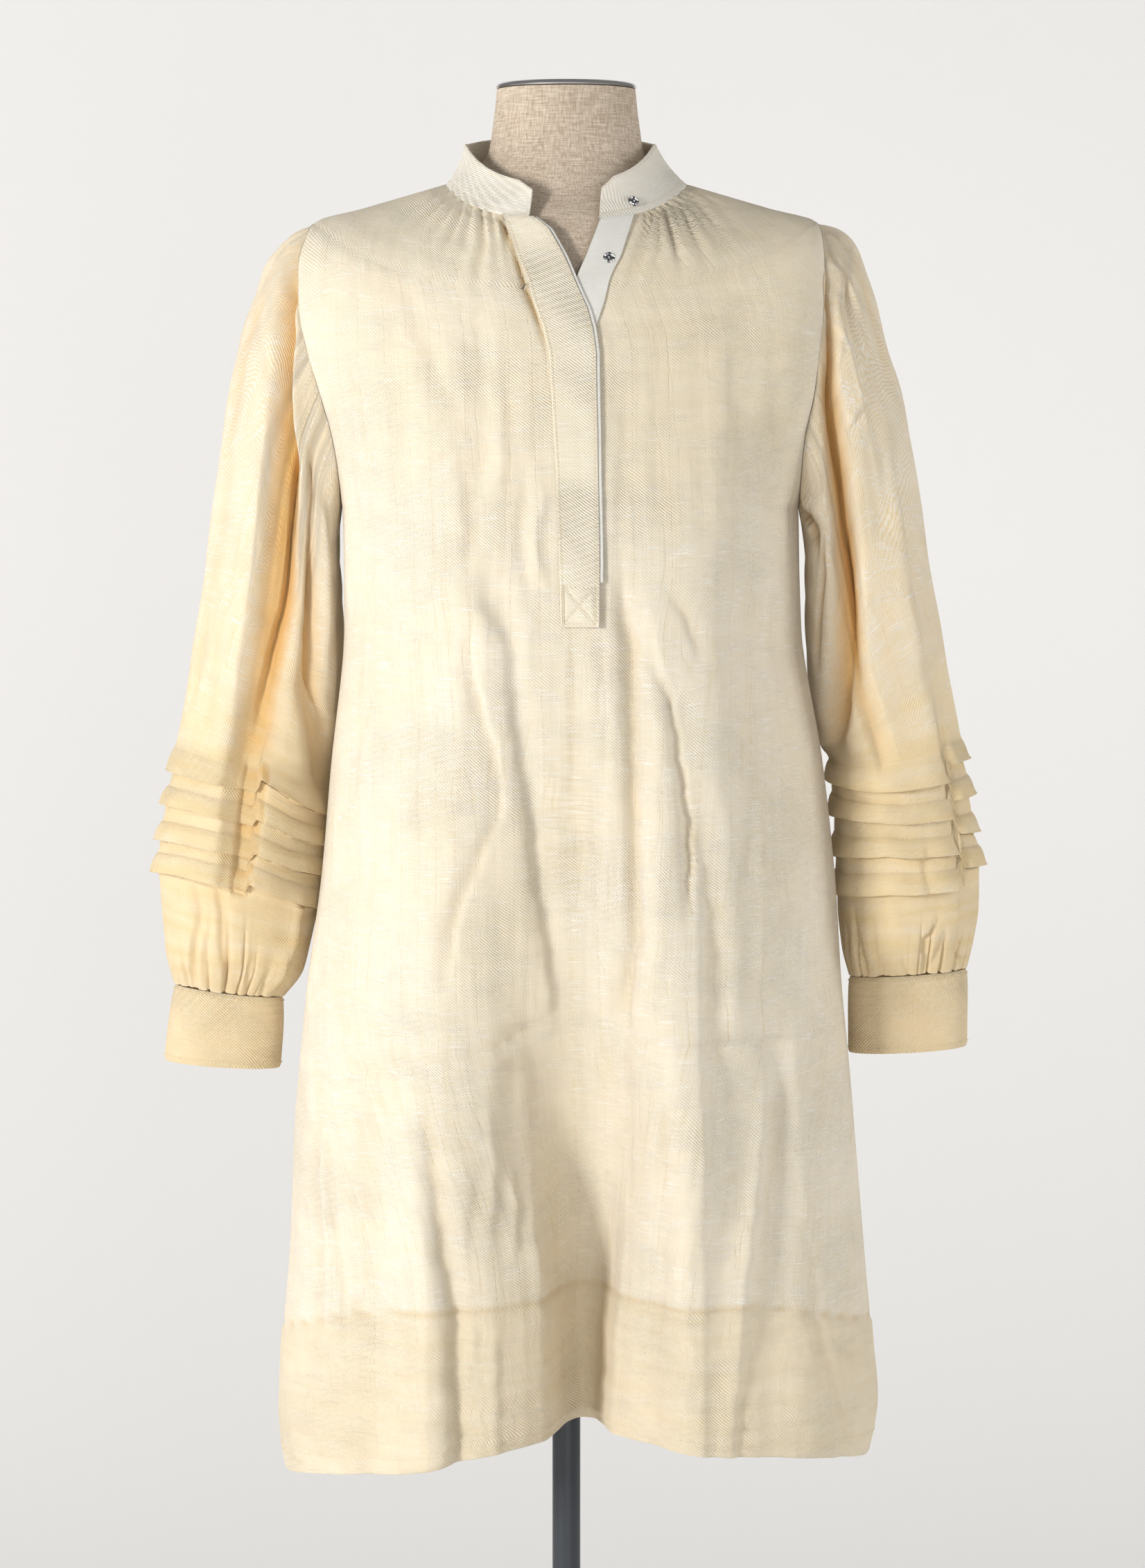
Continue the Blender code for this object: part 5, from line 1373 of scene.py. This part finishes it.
def make_plackets():
    clear = 0.0010
    fine = np.concatenate([np.linspace(1.3945, 1.1400, 140), np.linspace(1.1394, 1.1062, 60)])
    over = strip("shown_placket_over", "placket_cloth",
                 lambda z: line_at(OVER_LEFT, z), lambda z: line_at(OVER_RIGHT, z), fine,
                 ((0, clear), (0.25, clear + 0.0004), (0.75, clear + 0.0018), (1, clear + 0.0022)), 0.0019, 40, sewn_in)
    edge = strip("shown_placket_edge", "facing_cloth", lambda z: line_at(OVER_RIGHT, z) + 0.0001,
                 lambda z: line_at(OVER_RIGHT, z) + 0.0026, np.linspace(1.3945, EDGE_END, 120),
                 ((0, clear + 0.0017), (1, clear + 0.0015)), 0.0012, 8)
    under = strip("shown_placket_under", "facing_cloth",
                  lambda z: np.maximum(line_at(UNDER_LEFT, z), line_at(OVER_RIGHT, z) - 0.0030),
                  lambda z: line_at(UNDER_RIGHT, z), np.linspace(1.3945, UNDER_END, 60),
                  ((0, clear), (0.5, clear), (1, clear)), 0.0010, 14)
    return over, edge, under


# ---------------------------------------------------------------- collar
def collar_rows(steps=44):
    """(base points, top points, rounding) along the band, from the left front end round the back to the right one."""
    def row(base, centre):
        parts = {**base, "yc": centre[0], "zc": centre[1], "full": 1, "drop": 0, "xn": base["xe"]}
        return {name: np.float64(value) for name, value in parts.items()}

    rows = ((row(COLLAR_BASE, COLLAR_FRONT[0]), row(COLLAR_BASE, COLLAR_BACK[0])),
            (row(COLLAR_TOP, COLLAR_FRONT[1]), row(COLLAR_TOP, COLLAR_BACK[1])))
    share = np.linspace(0, 1, steps)
    back = 1 - np.arange(1, 2 * steps) / steps
    lines = []
    for (front, behind), ends in zip(rows, COLLAR_ENDS):
        left, right = row_u(front, ends[1]), row_u(front, ends[0])
        lines.append(np.concatenate([row_point(front, left + (1 - left) * share), row_point(behind, back),
                                     row_point(front, right + (-1 - right) * share[::-1])]))
    corner = np.minimum(1.0, 0.80 + 1.8 * share)
    rounding = np.concatenate([corner, np.ones(len(back)), corner[::-1]])
    return lines[0], lines[1], rounding


def collar_surface(level):
    """(points, normals) of the band's outer face at shares of its height."""
    base, top, rounding = collar_rows()
    along = np.gradient(base, axis=0)
    out = unit(np.cross(along, top - base))
    h = np.asarray(level)[:, None] * rounding[None, :]
    up = unit(top - base)
    points = base + (top - base) * h[..., None] + COLLAR_LIFT * out + up * (GAP + 0.0002)
    wave = 0.0005 * np.sin(np.arange(len(base)) * 0.13) * np.sin(math.pi * h)
    points = points + out * (wave - 0.0016 * np.sin(math.pi * h))[..., None]
    return points, np.broadcast_to(out, points.shape)


def make_collar():
    level = np.concatenate([[-0.075, -0.06, -0.04], np.linspace(0.0, 0.93, 17), [0.965, 0.985, 1.0]])
    outer, out = collar_surface(level)
    near = np.minimum(level + 0.075, 1 - level)[:, None]
    roll = 0.0009 * rolled(near / 0.035)
    seam = 0.0004 * bell((level - 0.10) / 0.03)[:, None]
    outer = outer - out * (roll + seam)[..., None]
    inner = outer - out * (COLLAR_WALL - 1.6 * roll)[..., None]
    return shell("shown_collar_band", outer, inner, "collar_cloth")


# ---------------------------------------------------------------- form
def make_torso():
    at = np.linspace(0, 19, 150)
    ring = dict(zip(TORSO, np.moveaxis(smooth(TORSO_RINGS, at), -1, 0)))
    angle = np.arange(128) * 2 * math.pi / 128
    c, s = np.cos(angle)[None, :], np.sin(angle)[None, :]
    r = {key: value[:, None] for key, value in ring.items()}
    y = np.where(s > 0, r["yb"], r["yf"])
    z = np.where(s > 0, r["zb"], r["zf"])
    turn = 1 - np.sin(math.pi / 2 * (2 / math.pi * np.arcsin(np.minimum(1, np.abs(c)))) ** 2.3)
    points = points_of(r["x"] * c, y * np.abs(s), r["z"] + (z - r["z"]) * turn)
    out = unit(np.cross(np.roll(points, -1, 1) - np.roll(points, 1, 1), np.gradient(points, axis=0)))
    groove = 0.0006 * bell((at - 2.35) / 0.05)[:, None]
    for seam in (0.0, math.pi / 2, math.pi, -math.pi / 2):
        away = np.abs((angle - seam + math.pi) % (2 * math.pi) - math.pi)[None, :]
        groove = groove + 0.0004 * bell(away / 0.035) * ease((at - 2.4) / 0.3)[:, None]
    points = points - np.abs(out) * np.sign(points * (1, 1, 0) + (0, 0, 1e-9)) * groove[..., None] * (1, 1, 0)
    index = ring_index(150, 128)
    quads = np.stack([index[:-1, :-1], index[1:, :-1], index[1:, 1:], index[:-1, 1:]], axis=2).reshape(-1, 4)
    ends = [index[:1, :-1], index[-1:, -2::-1]]
    return finish_mesh("shown_form_torso", points.reshape(-1, 3), [quads, *ends], "form_linen", smooth_angle=45)


def snap_places():
    base, top, _ = collar_rows()
    out = unit(np.cross(np.gradient(base, axis=0), top - base))
    k = next(i for i in range(2, 44) if (base[i] + top[i])[0] / 2 > 0.0440)
    place = base[k] + (top[k] - base[k]) * 0.20 + out[k] * (COLLAR_LIFT + 0.0001) + unit(top[k] - base[k]) * 0.0015
    point, normal = on_front(np.array([0.0302]), np.array([1.366]), 0.0019, True)
    return (place, out[k]), (point[0], normal[0])


# ---------------------------------------------------------------- the pieces
front = make_front()
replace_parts(front, "body_front")
back = make_back()
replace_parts(back, "body_back")
collar = make_collar()
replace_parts(collar, "collar_band")
over, edge, under = make_plackets()
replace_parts(over, "placket_over")
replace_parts(edge, "placket_edge")
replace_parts(under, "placket_under")
sleeves = {name: make_sleeve(name) for name in SLEEVES}
cuffs = {name: make_cuff(name) for name in CUFFS}
for name, piece in (*sleeves.items(), *cuffs.items()):
    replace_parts(piece, name)
torso = make_torso()
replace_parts(torso, "form_torso")

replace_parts(turned("shown_neck_cap", CAP_PROFILE, "chrome", 128), "neck_cap")
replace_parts(turned("shown_stand_pole", POLE_PROFILE, "pole_paint", 64), "stand_pole")
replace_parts(turned("shown_stand_base", BASE_PROFILE, "pole_paint", 160), "stand_base")

SNAP = ((0.0, 0.0), (0.0040, 0.0), (0.0041, 0.0003), (0.0040, 0.0008), (0.0036, 0.0012), (0.0030, 0.0013),
        (0.0025, 0.0010), (0.0022, 0.0005), (0.0012, 0.0004), (0.0009, 0.0009), (0.0004, 0.0010), (0.0, 0.0010))
for name, (place, out) in zip(("snap_collar", "snap_placket"), snap_places()):
    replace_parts(turned("shown_" + name, SNAP, "snap_metal", 64, place, out, True), name)

# ---------------------------------------------------------------- stitching
z = np.linspace(1.390, 1.109, 220)
rows = [on_front(line_at(OVER_LEFT, z) + 0.0021, z, 0.0029, True),
        on_front(line_at(OVER_RIGHT, z) - 0.0021, z, 0.0048, True)]
for (x0, z0), (x1, z1) in SEWN_LINES:
    t = np.linspace(0, 1, 24)
    x = x0 + (x1 - x0) * t
    share = np.clip((x + 0.004) / 0.027, 0, 1)
    lift = 0.0022 + np.interp(share, (0, 0.25, 0.75, 1), (0, 0.0004, 0.0018, 0.0022))
    rows.append(on_front(x, z0 + (z1 - z0) * t, lift, True))
stitch_rows("placket_stitches", rows, "thread")

collar_rings, collar_out = collar_surface(np.array([0.085, 0.93]))
rows = [(ring + out * lift, out) for ring, out, lift in zip(collar_rings, collar_out, (-0.0003, 0.0))]
stitch_rows("collar_stitches", rows, "thread")

rows = []
u = np.linspace(-0.985, 0.985, 500)
for side in (FRONT, BACK):
    for at in (hem_row(u), np.full(500, 18.55)):
        points, out = body_outer(side, u, at)
        rows.append((points + out * 0.0001, out))
stitch_rows("hem_stitches", rows, "thread", pitch=0.0034)

rows = []
for name in CUFFS:
    for share in CUFF_SEAMS:
        points, out = cuff_surface(name, np.linspace(0, 360, 240), np.full(240, share))
        rows.append((points + out * 0.0004, out))
for name in SLEEVES:
    degrees = np.linspace(0, 360, 400)
    for top, low in TUCKS:
        points, out = sleeve_outer(name, degrees, np.full(400, top - 0.02), np.zeros(400))
        rows.append((points + out * 0.0002, out))
stitch_rows("sleeve_stitches", rows, "sleeve_thread")

# ---------------------------------------------------------------- stage, light and camera
def stage_mesh(name, profile, half, colour):
    profile = np.array(profile, dtype=float)
    left = points_of(-half, profile[:, 0], profile[:, 1])
    right = points_of(half, profile[:, 0], profile[:, 1])
    n = len(profile)
    mesh = bpy.data.meshes.new(name)
    mesh.from_pydata(np.concatenate([left, right]).tolist(), [], [(k, k + 1, n + k + 1, n + k) for k in range(n - 1)])
    mesh.shade_smooth()
    mesh.materials.append(mottled(name, colour, 0.9, 0.985, 1.2, 2.0))
    made = bpy.data.objects.new(name, mesh)
    bpy.context.scene.collection.objects.link(made)


bend = [(1.1 + 1.1 * math.sin(a), 1.1 - 1.1 * math.cos(a)) for a in np.linspace(0, math.pi / 2, 16)]
stage_mesh("floor", [(-5.0, 0.0), (8.0, 0.0)], 6.0, (0.83, 0.82, 0.81))
stage_mesh("backdrop", [*bend, (2.2, 3.4)], 1.2, (0.83, 0.82, 0.81))


def area_light(name, place, aim, size, power, colour=(1, 1, 1)):
    light = bpy.data.lights.new(name, "AREA")
    light.shape = "RECTANGLE"
    light.size, light.size_y = size
    light.energy, light.color = power, colour
    made = bpy.data.objects.new(name, light)
    made.location = place
    made.rotation_euler = (Vector(aim) - Vector(place)).to_track_quat("-Z", "Y").to_euler()
    bpy.context.scene.collection.objects.link(made)


area_light("key", (-2.5, -2.65, 1.62), (0, 0, 0.95), (0.7, 0.9), 104, (1.0, 0.99, 0.97))
area_light("left", (-2.9, 0.2, 1.5), (0, 0, 0.95), (1.0, 1.8), 28)
area_light("right", (2.9, 0.1, 1.6), (0, 0, 0.95), (1.0, 1.8), 35)
area_light("fill", (0.9, -3.75, 1.0), (0, 0, 0.85), (1.6, 1.6), 33)

world = bpy.data.worlds.new("room")
bpy.context.scene.world = world
world.use_nodes = True
world.node_tree.nodes["Background"].inputs[0].default_value = (1.0, 0.99, 0.98, 1)
world.node_tree.nodes["Background"].inputs[1].default_value = 0.32

camera_data = bpy.data.cameras.new("camera")
camera_data.sensor_width = 36
camera_data.lens = 97.84
camera = bpy.data.objects.new("camera", camera_data)
camera.location = (0.0046, -3.15, 1.255)
camera.rotation_euler = (math.radians(90 - 4.93), 0, 0)
bpy.context.scene.collection.objects.link(camera)
bpy.context.scene.camera = camera
bpy.context.scene.view_settings.view_transform = "Standard"
